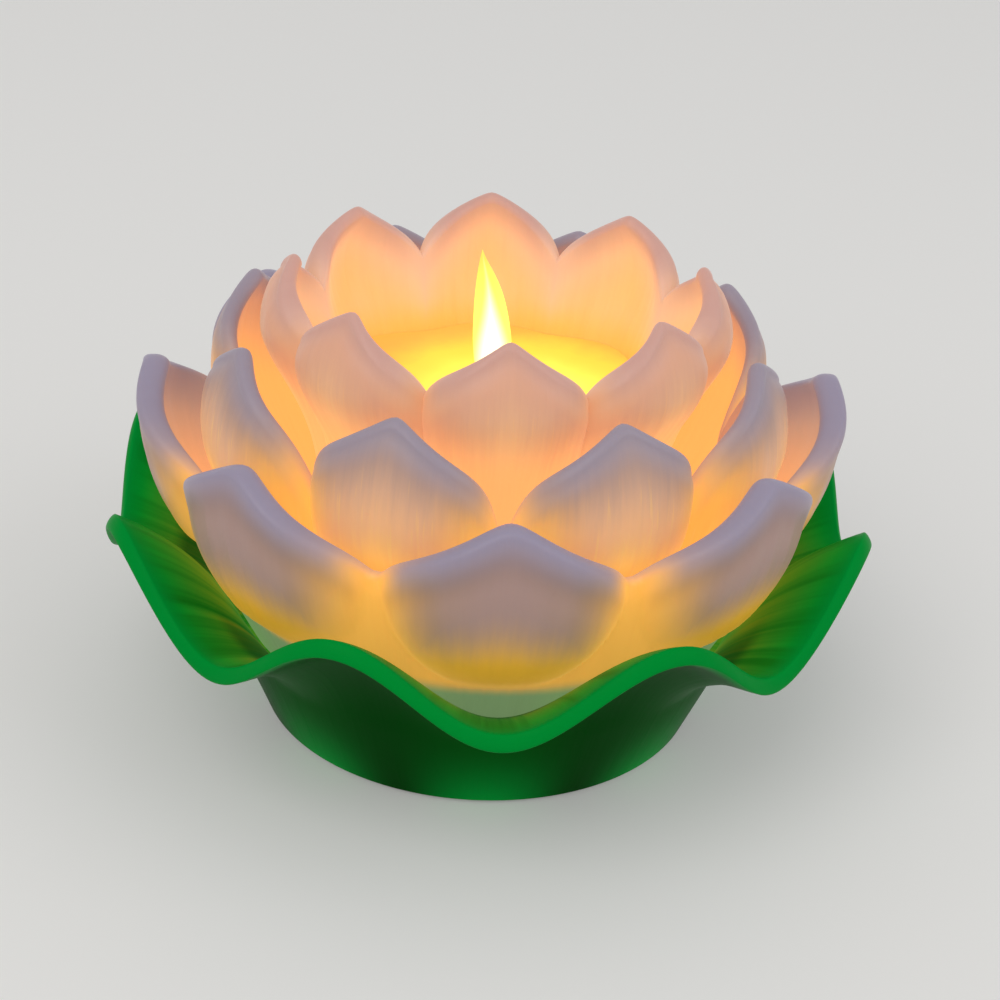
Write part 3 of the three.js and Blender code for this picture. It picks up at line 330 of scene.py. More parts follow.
@dataclass(frozen=True)
class PetalFinish:
    """Milky petal plastic with the lamp's light in it, warmest in the creases and low down.

    It reads four marks of a crown's points: share, 0 on a petal's centre line and 1 in the groove
    beside it; bowl, which also rises to 1 down to the bowl's foot; drop, the depth below the edge;
    and inside, 1 on the inner face. A span runs from where a change begins to where it is complete.
    """

    name: str
    lip: Colour  # the thick edge
    body: Colour  # the petal below its edge
    warm: Colour  # the creases
    low: Colour  # low on the petal's centre line
    inner_top: Colour  # the inner face below its edge
    inner: Colour  # deep on the inner face
    fade: Span  # the depths over which the warm light takes over
    crease_lift: float  # how much higher that light reaches in a crease
    crease_warmth: float  # how much of a crease is lit right up to its edge
    lip_depth: float  # how far down the colour of the edge reaches
    lip_inside: float = 8 * MM  # how far down it reaches on the inner face
    inner_fade: float = 14 * MM  # the depth where the inner face has its own colour in full
    glow: float = 0.42  # how strongly the warm places shine
    body_glow: float = 0.26  # how strongly the rest shines
    inner_glow: float = 0.42  # how strongly the inner face shines low down
    groove_glow: float = 0.0  # how much more the grooves between the petals shine
    deep: Span = (60 * MM, 70 * MM)  # the depths over which a petal comes to shine as its grooves do
    band_shade: float = 0.0  # how dark the soft band below the edge is
    band_depths: tuple[float, float, float] = (2 * MM, 6 * MM, 12 * MM)  # its start, its middle, its end
    scratches: float = 0.0  # how much of the short bright scratches shows
    scratch_depths: Span = (5 * MM, 12 * MM)
    pool_glow: float = 0.0  # how much of the candle's light is painted, in its gold, on the inner face above it
    pool_light_colour: Colour = from_display(255, 190, 80)
    pool_heights: Span = (79 * MM, 71 * MM)
    leaf_reflection: float = 0.0  # how much of the leaf's green is painted as a reflection at the foot of the petals
    # the painted reflection's colour, and the heights over which it comes in going down
    green_reflection: Colour = from_display(86, 154, 116)
    reflection_heights: Span = (37.4 * MM, 32.4 * MM)
    sides: Span = (0.42, 0.92)  # where the sides of a bowl turn warm
    side_part: float = 0.6  # the part of a crease's warmth that comes with those sides
    lip_sides: Span = (0.7, 1.0)  # where the cool edge gives way to the crease
    lip_coolness: float = 0.7  # how much of the warm light the edge keeps off
    groove: Span = (0.62, 1.02)  # where a groove's own light begins
    flank: Span = (0.3, 0.85)  # where the low colour turns to that of the creases
    ruffle_depth: float = 5 * MM  # how far the streaks shift the border of the light
    ruffle_side: float = 0.06  # how far they shift the sides of a bowl
    streak_light: float = 0.2  # how much the light varies from streak to streak
    solid_shade: float = 0.22  # how much darker the plastic is than its light

    def make(self) -> bpy.types.Material:
        """Builds the material.

        Returns:
            The material.
        """
        shader = Shader(self.name)
        inside = shader.mark("inside")
        streaks = self.streaks(shader)
        colour, light = self.outer_face(shader, streaks)
        face, face_light = self.inner_face(shader)
        colour = self.details(shader, shader.mix(inside, colour, face))
        light = shader.plus(light, shader.times(inside, shader.sum("SUBTRACT", face_light, light)))
        streaked = shader.plus(1 - self.streak_light / 2, shader.times(streaks, self.streak_light))
        shader.set(
            Base_Color=shader.mix(self.solid_shade, colour, BLACK),
            Emission_Color=colour,
            Emission_Strength=shader.times(light, streaked),
            Roughness=0.38,
            Specular_IOR_Level=0.3,
            Subsurface_Weight=0.2,
            Subsurface_Radius=(1.0, 0.6, 0.35),
            Subsurface_Scale=2 * MM,
        )
        shader.bump(streaks, depth=0.12 * MM, strength=0.6)
        return shader.material

    @staticmethod
    def streaks(shader: Shader) -> Socket:
        """Gives fine streaks that run up the petals, as the mould leaves them.

        Args:
            shader: The material's shader.

        Returns:
            The streaks, 0 to 1.
        """
        fine = shader.noise(shader.round_place(across=58.0, along=70.0), detail=3.0, roughness=0.6)
        broad = shader.noise(shader.round_place(across=16.0, along=30.0))
        fine_part = 0.65
        return shader.plus(shader.times(fine, fine_part), shader.times(broad, 1 - fine_part))

    def outer_face(self, shader: Shader, streaks: Socket) -> tuple[Socket, Socket]:
        """Paints the outer face.

        Args:
            shader: The material's shader.
            streaks: The streaks, which ruffle the borders of the light.

        Returns:
            The face's colour, and how strongly it shines.
        """
        share, bowl, drop = (shader.mark(name) for name in ("share", "bowl", "drop"))
        ruffle = shader.sum("SUBTRACT", streaks, 0.5)
        near_crease = shader.sum("POWER", shader.sum("MINIMUM", bowl, 1.0), 2.0)
        lifted = shader.plus(drop, shader.times(near_crease, self.crease_lift))
        reach = shader.plus(lifted, shader.times(ruffle, self.ruffle_depth))
        side = shader.ramp(shader.plus(bowl, shader.times(ruffle, self.ruffle_side)), *self.sides)
        crease = shader.times(near_crease, 1 - self.side_part)
        crease = shader.plus(crease, shader.times(side, self.side_part))
        crease = shader.times(crease, self.crease_warmth)
        warmth = shader.sum("MAXIMUM", crease, shader.ramp(reach, *self.fade), clamp=True)
        cool = shader.ramp(drop, self.lip_depth, 0.0)
        cool = shader.times(cool, shader.rest(shader.ramp(bowl, *self.lip_sides)))
        warmth = shader.times(warmth, shader.rest(shader.times(cool, self.lip_coolness)))
        groove = shader.sum("MAXIMUM", shader.ramp(bowl, *self.groove), shader.ramp(reach, *self.deep))
        aside = shader.sum("MAXIMUM", shader.ramp(share, *self.flank), groove)
        colour = shader.mix(cool, self.body, self.lip)
        colour = shader.mix(warmth, colour, shader.mix(aside, self.low, self.warm))
        light = shader.ramp(warmth, 0.0, 1.0, self.body_glow, self.glow)
        return colour, shader.plus(light, shader.times(groove, self.groove_glow))

    def inner_face(self, shader: Shader) -> tuple[Socket, Socket]:
        """Paints the inner face, which keeps less of the edge's colour beside a crease.

        Args:
            shader: The material's shader.

        Returns:
            The face's colour, and how strongly it shines.
        """
        top, crease_part = 2 * MM, 0.25
        drop = shader.mark("drop")
        colour = shader.mix(shader.ramp(drop, top, self.inner_fade), self.inner_top, self.inner)
        beside = shader.ramp(shader.mark("share"), 1.0, 0.5, crease_part, 1.0)
        colour = shader.mix(shader.times(shader.ramp(drop, self.lip_inside, 0.0), beside), colour, self.lip)
        return colour, shader.ramp(drop, 0.0, self.inner_fade, self.body_glow, self.inner_glow)

    def details(self, shader: Shader, colour: Socket) -> Socket:
        """Adds the band of painted shade below the edge, the scratches, the candle's painted light and the
        leaf's painted green reflection.

        Args:
            shader: The material's shader.
            colour: The colour of both faces.

        Returns:
            The colour with them.
        """
        drop, inside = shader.mark("drop"), shader.mark("inside")
        outside = shader.rest(inside)
        height = shader.split(shader.place())[2]
        if self.band_shade:
            start, middle, end = self.band_depths
            band = shader.times(shader.ramp(drop, start, middle), shader.ramp(drop, end, middle))
            band = shader.times(band, shader.ramp(shader.mark("bowl"), 1.0, 0.9), outside)
            colour = shader.mix(shader.times(band, self.band_shade), colour, BLACK)
        if self.scratches:
            scratch = shader.noise(shader.round_place(across=85.0, along=90.0), detail=1.0)
            scratch = shader.times(shader.ramp(scratch, 0.6, 0.74), shader.ramp(drop, *self.scratch_depths))
            colour = shader.mix(shader.times(scratch, outside, self.scratches), colour, self.inner)
        # painted light from the candle's lit top, on the inner face just above it
        if self.pool_glow:
            pool = shader.ramp(height, *self.pool_heights, 0.0, self.pool_glow)
            colour = shader.mix(shader.times(pool, inside), colour, self.pool_light_colour)
        # painted reflection of the leaf's green, low on the outer face
        if self.leaf_reflection:
            green_reflection = shader.ramp(height, *self.reflection_heights, 0.0, self.leaf_reflection)
            colour = shader.mix(shader.times(green_reflection, outside), colour, self.green_reflection)
        return colour


@dataclass(frozen=True)
class LeafFinish:
    """Green leaf plastic: satin, streaked along the dish, lit near the flower and with painted shade below.

    It reads five marks of the leaf's points: reach, 0 at the deck and 1 at the rim; valley, 1 in a
    valley of the rim; under, 1 below; lip, 1 on the rim; and foot, 1 low on the foot in a valley, where a
    patch of light is painted.
    """

    name: str = "leaf_green_satin"
    top: Colour = from_display(6, 156, 48)
    dark: Colour = from_display(14, 118, 26)  # the dark streaks
    lit: Colour = from_display(134, 142, 26)  # near the flower
    lip: Colour = from_display(0, 142, 52)
    below: Colour = from_display(0, 82, 14)  # painted shade under a valley
    # painted shade under a crest, darker than under a valley
    shade_below_crest: Colour = from_display(0, 66, 8)
    # a painted patch of light low on the foot below a valley
    foot: Colour = from_display(0, 156, 58)
    pocket_shade: Colour = from_display(14, 76, 22)  # painted shade where a valley dips behind the flower
    pocket_part: float = 0.75
    lit_reach: Span = (0.95, 0.4)
    lit_parts: Span = (0.5, 0.9)  # how much of that light a crest and a valley catch
    pocket_reach: Span = (0.7, 0.56)
    pocket_valley: Span = (0.35, 0.9)
    glow: float = 0.06
    flower_glow: float = 0.35  # how much more the dish shines near the flower

    def make(self) -> bpy.types.Material:
        """Builds the material.

        Returns:
            The material.
        """
        shader = Shader(self.name)
        reach, under, valley = (shader.mark(name) for name in ("reach", "under", "valley"))
        streaks = shader.noise(shader.round_place(across=20.0, along=14.0), detail=3.0, roughness=0.55)
        colour = shader.mix(shader.ramp(streaks, 0.35, 0.75), self.top, self.dark)
        lit = shader.times(shader.ramp(reach, *self.lit_reach), shader.ramp(streaks, 0.72, 0.3))
        lit = shader.times(lit, shader.ramp(valley, 0.0, 0.7, *self.lit_parts))
        colour = shader.mix(lit, colour, self.lit)
        # painted shade in the pocket of each valley beside the flower
        pocket_shade = shader.ramp(reach, *self.pocket_reach, 0.0, self.pocket_part)
        pocket_shade = shader.times(shader.ramp(valley, *self.pocket_valley), pocket_shade)
        colour = shader.mix(pocket_shade, colour, self.pocket_shade)
        # painted shade under the leaf, deeper under the crests, and a painted patch of light low on the
        # foot
        below = shader.mix(valley, self.shade_below_crest, self.below)
        colour = shader.mix(under, colour, shader.mix(shader.mark("foot"), below, self.foot))
        colour = shader.mix(shader.mark("lip"), colour, self.lip)
        light = shader.times(shader.ramp(reach, 0.8, 0.05), shader.rest(under))
        shader.set(
            Base_Color=colour,
            Emission_Color=colour,
            Emission_Strength=shader.plus(shader.times(light, self.flower_glow), self.glow),
            Roughness=0.36,
            Specular_IOR_Level=0.015,
            Subsurface_Weight=0.1,
            Subsurface_Radius=(0.2, 1.0, 0.3),
            Subsurface_Scale=1.5 * MM,
        )
        shader.bump(streaks, depth=0.2 * MM, strength=0.5)
        return shader.material


@dataclass(frozen=True)
class CandleFinish:
    """The candle's lit top: white-yellow by the flame and orange towards its rim."""

    name: str = "candle_lit_wax"
    near: Colour = from_display(255, 250, 96)
    middle: Colour = from_display(255, 214, 72)
    far: Colour = from_display(252, 180, 80)
    pool_shift: float = 5 * MM  # how far right of the axis the light is centred
    near_radius: float = 10 * MM
    middle_radius: float = 26 * MM
    far_radius: float = 37 * MM
    ripple: float = 4 * MM  # how far the mottling shifts the rings of colour
    near_glow: float = 0.8
    far_glow: float = 0.35

    def make(self) -> bpy.types.Material:
        """Builds the material.

        Returns:
            The material.
        """
        shader = Shader(self.name)
        mottle = shader.noise(shader.place(), scale=160.0, detail=3.0)
        ripple = shader.times(shader.sum("SUBTRACT", mottle, 0.5), self.ripple)
        radius = shader.plus(shader.radius(self.pool_shift), ripple)
        outwards = shader.ramp(radius, self.near_radius, self.middle_radius)
        colour = shader.mix(outwards, self.near, self.middle)
        colour = shader.mix(shader.ramp(radius, self.middle_radius, self.far_radius), colour, self.far)
        shader.set(
            Base_Color=colour,
            Emission_Color=colour,
            Emission_Strength=shader.ramp(
                radius, self.near_radius, self.far_radius, self.near_glow, self.far_glow
            ),
            Roughness=0.3,
            Specular_IOR_Level=0.45,
        )
        shader.bump(mottle, depth=0.15 * MM, strength=0.4)
        return shader.material


@dataclass(frozen=True)
class FlameFinish:
    """The flame's film, lit from below: a white core, yellow sides and an orange tip.

    It reads two marks of the film's points: across, 0 on the centre line and 1 at the sides, and
    rise, 0 at the candle and 1 at the tip.
    """

    name: str = "flame_lit_film"
    core: Colour = from_display(255, 255, 236)
    side: Colour = from_display(254, 236, 102)
    tip: Colour = from_display(254, 196, 84)
    core_edge: Span = (0.45, 1.3)
    core_rise: Span = (0.1, 0.85)  # where the core narrows
    core_narrowing: float = 0.9
    tip_rise: Span = (0.6, 1.0)
    low_glow: float = 1.1
    tip_glow: float = 0.8

    def make(self) -> bpy.types.Material:
        """Builds the material.

        Returns:
            The material.
        """
        shader = Shader(self.name)
        rise = shader.mark("rise")
        narrowing = shader.ramp(rise, *self.core_rise, 0.0, self.core_narrowing)
        off_core = shader.ramp(shader.plus(shader.mark("across"), narrowing), *self.core_edge)
        colour = shader.mix(off_core, self.core, self.side)
        tipped = shader.times(shader.ramp(rise, *self.tip_rise), shader.ramp(off_core, 0.2, 1.0, 0.5, 1.0))
        colour = shader.mix(tipped, colour, self.tip)
        light = shader.ramp(rise, 0.35, 1.0, self.low_glow, self.tip_glow)
        shader.set(Base_Color=colour, Emission_Color=colour, Emission_Strength=light, Roughness=0.4)
        return shader.material


@dataclass(frozen=True)
class MouldedFinish:
    """Plain moulded plastic, rubber or laminate with a fine grain."""

    name: str
    colour: Colour
    roughness: float = 0.45
    grain: float = 0.05 * MM
    grain_scale: float = 1800.0
    cloud_scale: float = 90.0  # how finely the colour and the gloss vary
    variation: float = 0.16
    emission: float = 0.0

    def make(self) -> bpy.types.Material:
        """Builds the material.

        Returns:
            The material.
        """
        shader = Shader(self.name)
        grain = shader.noise(shader.place(), self.grain_scale)
        cloud = shader.noise(shader.place(), self.cloud_scale, detail=3.0)
        darker = tuple(part * (1 - self.variation) for part in self.colour)
        colour = shader.mix(cloud, darker, self.colour)
        rough = shader.ramp(cloud, 0.2, 0.8, self.roughness - 0.05, self.roughness + 0.06)
        shader.set(Base_Color=colour, Roughness=rough)
        if self.emission:
            shader.set(Emission_Color=colour, Emission_Strength=self.emission)
        shader.bump(grain, self.grain, strength=0.5)
        return shader.material


@dataclass(frozen=True)
class MetalFinish:
    """Metal with fine scratches."""

    name: str
    colour: Colour
    roughness: float = 0.3

    def make(self) -> bpy.types.Material:
        """Builds the material.

        Returns:
            The material.
        """
        shader = Shader(self.name)
        scratch = shader.noise(shader.place(), scale=2400.0, detail=4.0, roughness=0.7)
        rough = shader.ramp(scratch, 0.3, 0.7, self.roughness - 0.08, self.roughness + 0.1)
        shader.set(Base_Color=self.colour, Metallic=1.0, Roughness=rough)
        shader.bump(scratch, depth=0.02 * MM, strength=0.4)
        return shader.material


# Mesh work


def deselect() -> None:
    """Deselects every object, the frame's own nodes included."""
    for shown in bpy.context.view_layer.objects:
        shown.select_set(False)


def pick(piece: bpy.types.Object) -> None:
    """Selects a piece alone and makes it the active one.

    Args:
        piece: The piece.
    """
    deselect()
    piece.select_set(True)
    bpy.context.view_layer.objects.active = piece


@contextmanager
def editing(piece: bpy.types.Object) -> Iterator[bmesh.types.BMesh]:
    """Opens a piece in edit mode, in vertex select mode.

    Args:
        piece: The piece.

    Yields:
        Its editable mesh.
    """
    pick(piece)
    bpy.ops.object.mode_set(mode="EDIT")
    bpy.ops.mesh.select_mode(type="VERT")
    yield bmesh.from_edit_mesh(piece.data)
    bpy.ops.object.mode_set(mode="OBJECT")


def smooth(piece: bpy.types.Object, degrees: float = 50.0) -> None:
    """Shades a piece smooth, apart from edges sharper than an angle."""
    pick(piece)
    bpy.ops.object.shade_smooth_by_angle(angle=math.radians(degrees))


def part_way(value: float, span: Span) -> float:
    """Gives how far a value lies along a span, 0 to 1."""
    start, end = span
    return min(1.0, max(0.0, (value - start) / (end - start)))


def eased(value: float, span: Span) -> float:
    """Gives how far a value lies along a span, 0 to 1, with a soft start and end."""
    share = part_way(value, span)
    return share**2 * (3 - 2 * share)


@dataclass
class Ring:
    """One ring of a shell that runs round the lamp's axis, and the marks that its points carry."""

    place: Place
    marks: dict[str, Callable[[float], float]] = field(default_factory=dict)


def angle_of(point: Vector) -> float:
    """Gives a point's angle from the front, towards the right."""
    return math.atan2(point.x, -point.y)


def ring_shell(name: str, columns: int, rings: Sequence[Ring]) -> bpy.types.Object:
    """Lofts a closed shell through rings, drawn out one from another.

    Args:
        name: The piece's name.
        columns: How many points each ring has.
        rings: The rings, in order round the shell's section.

    Returns:
        The piece.
    """
    deselect()
    bpy.ops.mesh.primitive_circle_add(vertices=columns, radius=rings[0].place(0.0)[0])
    piece = bpy.context.object
    piece.name = name
    with editing(piece) as mesh:
        layers = {mark: mesh.verts.layers.float.new(mark) for mark in rings[0].marks}
        for number, ring in enumerate([*rings, rings[0]]):
            if number:
                bpy.ops.mesh.extrude_region_move()
                mesh = bmesh.from_edit_mesh(piece.data)
                layers = {mark: mesh.verts.layers.float[mark] for mark in layers}
            for vertex in mesh.verts:
                if not vertex.select:
                    continue
                angle = angle_of(vertex.co)
                radius, height = ring.place(angle)
                vertex.co = (radius * math.sin(angle), -radius * math.cos(angle), height)
                for mark, value in ring.marks.items():
                    vertex[layers[mark]] = value(angle)
            bmesh.update_edit_mesh(piece.data)
        bpy.ops.mesh.select_all(action="SELECT")
        bpy.ops.mesh.remove_doubles(threshold=0.001 * MM)
        bpy.ops.mesh.normals_make_consistent(inside=False)
    smooth(piece)
    return piece


def dress(piece: bpy.types.Object, finish: bpy.types.Material) -> None:
    """Gives a piece one finish.

    Args:
        piece: The piece.
        finish: Its material.
    """
    if piece.material_slots:
        for held in piece.material_slots:
            held.material = finish
    else:
        piece.data.materials.append(finish)


def stand_for(piece: bpy.types.Object, body: Body, slot: str, *nodes: str) -> None:
    """Makes a piece stand for nodes of the frame.

    Args:
        piece: The piece.
        body: The body that it moves with.
        slot: The record's slot for its finish; not used.
        nodes: The nodes that it replaces.
    """
    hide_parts(*nodes)
    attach(piece, body.value)
    LOG.info("%s stands for %s: %d faces", piece.name, ", ".join(nodes), len(piece.data.polygons))


PETALS = 8
HALF_PITCH = math.pi / PETALS


@dataclass
class PetalCrown:
    """One ring of petals, moulded with its round floor.

    Heights and radii are those of the frame's node. A petal's outline runs from its tip over
    straight shoulders to the groove beside it. Where bowl_foot is given, the petal narrows below
    its shoulders into a round bowl that ends there.
    """

    node: str
    slot: str
    finish: PetalFinish
    turn: float  # the angle of a petal's centre line
    shoulder_share: float  # how much of the edge's fall the straight shoulders make
    softness: float  # how round the tip is
    swell_delay: float  # how long the wall stays near its root's radius
    root_radius: float
    belly_radius: float
    belly_height: float
    tip_radius: float
    crease_radius: float
    crease_height: float
    columns_per_petal: int = 40
    outer_rows: int = 34
    lip_rows: int = 12
    inner_rows: int = 20
    row_spread: float = 0.8  # below 1, the outer rows stand closer near the lip
    root_wall: float = 3.2 * MM
    lip_wall: float = 3.6 * MM
    lip_height: float = 2.16 * MM
    floor_thickness: float = 2.4 * MM
    hole_radius: float = 10 * MM
    roundness: float = 3.2  # how full a petal is across
    dip_power: float = 8.0  # how suddenly the edge dips into a groove
    lip_roll: float = 4 * MM  # the depth over which the face draws in towards the lip
    lip_draw: float = 0.8 * MM  # how far it draws in
    lip_corner: float = 2.0  # 2 is round, and more is crisper outside
    bead: float = 1.2 * MM  # how much thicker the lip is inside
    bead_depth: float = 10 * MM
    inner_softness: float = 0.0  # how much rounder the inner face is than the outer
    groove_share: float = 1.0  # how much of the pitch a petal takes beside its groove
    bowl_foot: float = 0.0  # the height where the bowl ends, or 0 for no bowl
    bowl_waist: float = 0.5  # how narrow the bowl gets
    bowl_closing: Span = (0.72, 1.02)  # where the bowl's face sinks into the crease's
    belly_wave: float = 0.0  # how far the flanks swell low down and hollow high up
    flare: float = 0.0  # how far the lip leans out
    flare_height: float = 7 * MM
    vein_height: float = 0.09 * MM
    vein_depths: Span = (3 * MM, 9 * MM)  # the depths over which the veins come in
    veins: int = 9

    def __post_init__(self) -> None:
        """Takes the floor's and the tips' heights from the frame."""
        low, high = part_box(self.node)
        self.floor_height = low.z
        self.floor_top = low.z + self.floor_thickness
        self.tip_height = high.z

    def share(self, angle: float) -> float:
        """Gives how far an angle lies from its petal's centre line, 1 in the groove."""
        turns = (angle - self.turn) / (2 * HALF_PITCH)
        return min(1.0, abs(turns - round(turns)) * 2 / self.groove_share)

    def off_groove(self, angle: float) -> float:
        """Gives nearly 1 over most of a petal and 0 in its groove."""
        return 1 - self.share(angle) ** 4

    def depth(self, height: float) -> float:
        """Gives how far down its bowl a height lies: 0 at the crease's height and 1 at its foot.

        Args:
            height: The height.

        Returns:
            The depth, more than 1 below the foot.
        """
        if not self.bowl_foot:
            return 0.0
        return max(0.0, (self.crease_height - height) / (self.crease_height - self.bowl_foot))

    def edge(self, angle: float) -> float:
        """Gives the height of the petals' edge at an angle.

        Args:
            angle: The angle from the front.

        Returns:
            The height.
        """
        share = self.share(angle)
        soft = self.softness
        slope = (math.hypot(share, soft) - soft) / (math.hypot(1, soft) - soft)
        fall = self.shoulder_share * slope + (1 - self.shoulder_share) * share**self.dip_power
        return self.tip_height - (self.tip_height - self.crease_height) * fall

    def swell(self, height: float, full: float) -> float:
        """Gives how far the wall has swelled out at a height, 1 where it is full."""
        up = (height - self.floor_height) / (full - self.floor_height)
        return math.sin(min(1.0, max(0.0, up)) ** self.swell_delay * math.pi / 2)

    def on_centre(self, height: float) -> float:
        """Gives the outer face's radius on a petal's centre line.

        Args:
            height: The height.

        Returns:
            The radius.
        """
        if height <= self.belly_height:
            swell = self.swell(height, self.belly_height)
            return self.root_radius + (self.belly_radius - self.root_radius) * swell
        up = (height - self.belly_height) / (self.tip_height - self.belly_height)
        return self.belly_radius - (self.belly_radius - self.tip_radius) * up**2

    def in_crease(self, height: float) -> float:
        """Gives the outer face's radius in the crease between two petals."""
        swell = self.swell(height, self.crease_height)
        return self.root_radius + (self.crease_radius - self.root_radius) * swell

    def outer(self, angle: float, height: float) -> float:
        """Gives the outer face's radius, with its faint veins.

        Args:
            angle: The angle from the front.
            height: The height.

        Returns:
            The radius.
        """
        depth = self.depth(height)
        width = max(self.bowl_waist, math.sqrt(max(0.0, 1 - depth**2)))
        share = min(1.0, self.share(angle) / width)
        middle = 1 - share**4
        crease = self.in_crease(height)
        swell = (1 - share**self.roundness) * (1 - eased(depth, self.bowl_closing))
        rise = (height - self.bowl_foot) / (self.tip_height - self.bowl_foot)
        if 0 < rise < 1:
            crease += self.belly_wave * math.sin(2 * math.pi * rise) * middle
        below = part_way(self.edge(angle) - height, self.vein_depths)
        vein = self.vein_height * math.cos(share * self.veins * math.pi) * middle * below
        return crease + (self.on_centre(height) - crease) * swell - self.vein_height + vein

    def inner(self, angle: float, height: float) -> float:
        """Gives the inner face's radius, with the bead that thickens the lip.

        Args:
            angle: The angle from the front.
            height: The height.

        Returns:
            The radius.
        """
        share = self.share(angle)
        up = (height - self.floor_height) / (self.tip_height - self.floor_height)
        wall = self.root_wall + (self.lip_wall - self.root_wall) * up
        near = eased(self.edge(angle) - height, (self.bead_depth, 0.0))
        bead = self.bead * near * self.off_groove(angle)
        wave = (1 + math.cos(math.pi * share)) / 2
        soft = self.inner_softness * (1 - share**self.roundness - wave)
        crease = self.in_crease(height)
        return self.outer(angle, height) - wall - bead - soft * (self.on_centre(height) - crease)

    def section(self) -> list[Ring]:
        """Gives the rings: up the outer face, over the lip, down inside and in along the floor.

        Returns:
            The rings, in order round the section.
        """
        rings = []

        def marked(place: Place, inside: float) -> None:
            """Adds a ring with its marks.

            Args:
                place: Gives the ring's radius and height.
                inside: How far inside it lies, 1 on the inner face.
            """
            marks = {
                "share": self.share,
                "bowl": lambda angle: math.hypot(self.share(angle), self.depth(place(angle)[1])),
                "drop": lambda angle: self.edge(angle) - place(angle)[1],
                "inside": lambda angle: inside,
            }
            rings.append(Ring(place, marks))

        for row in range(self.outer_rows + 1):
            share = (row / self.outer_rows) ** self.row_spread
            marked(lambda angle, share=share: self.on_outer(angle, share), 0.0)
        for row in range(1, self.lip_rows):
            turn = math.pi * row / self.lip_rows
            marked(lambda angle, turn=turn: self.on_lip(angle, turn), (1 - math.cos(turn)) / 2)
        for row in range(self.inner_rows + 1):
            share = 1 - row / self.inner_rows
            marked(lambda angle, share=share: self.on_inner(angle, share), 1.0)
        marked(lambda angle: (self.hole_radius, self.floor_top), 1.0)
        marked(lambda angle: (self.hole_radius, self.floor_height), 0.0)
        return rings

    def lip_ends(self, angle: float) -> tuple[float, float, float]:
        """Gives the lip's outer and inner radius and the height where it starts.

        Args:
            angle: The angle from the front.

        Returns:
            The outer radius, the inner radius and the height.
        """
        start = self.edge(angle) - self.lip_height
        flared = self.flare * self.off_groove(angle)
        return self.outer(angle, start) - self.lip_draw + flared, self.inner(angle, start), start

    def on_outer(self, angle: float, share: float) -> tuple[float, float]:
        """Gives a point of the outer face, which draws in a little as it nears the lip.

        Args:
            angle: The angle from the front.
            share: How far up the face it lies, 0 at the floor and 1 at the lip.

        Returns:
            Its radius and height.
        """
        start = self.lip_ends(angle)[2]
        height = self.floor_height + (start - self.floor_height) * share
        drawn = self.lip_draw * max(0.0, 1 - (start - height) / self.lip_roll) ** 2
        flared = self.flare * max(0.0, 1 - (start - height) / self.flare_height) ** 2
        return self.outer(angle, height) - drawn + flared * self.off_groove(angle), height

    def on_lip(self, angle: float, turn: float) -> tuple[float, float]:
        """Gives a point of the lip, which is round inside and may be crisper outside.

        Args:
            angle: The angle from the front.
            turn: How far round the lip it lies, 0 to pi.

        Returns:
            Its radius and height.
        """
        outer, inner, start = self.lip_ends(angle)
        middle, half = (outer + inner) / 2, (outer - inner) / 2
        power = 2 / self.lip_corner if turn < math.pi / 2 else 1.0
        across = math.copysign(abs(math.cos(turn)) ** power, math.cos(turn))
        return middle + half * across, start + self.lip_height * math.sin(turn) ** power

    def on_inner(self, angle: float, share: float) -> tuple[float, float]:
        """Gives a point of the inner face.

        Args:
            angle: The angle from the front.
            share: How far up the face it lies, 0 at the floor and 1 at the lip.

        Returns:
            Its radius and height.
        """
        start = self.lip_ends(angle)[2]
        height = self.floor_top + (start - self.floor_top) * share
        return self.inner(angle, height), height

    def build(self) -> bpy.types.Object:
        """Builds and dresses the crown.

        Returns:
            The piece.
        """
        piece = ring_shell(self.node + "_shell", PETALS * self.columns_per_petal, self.section())
        dress(piece, self.finish.make())
        stand_for(piece, Body.BASE, self.slot, self.node)
        return piece


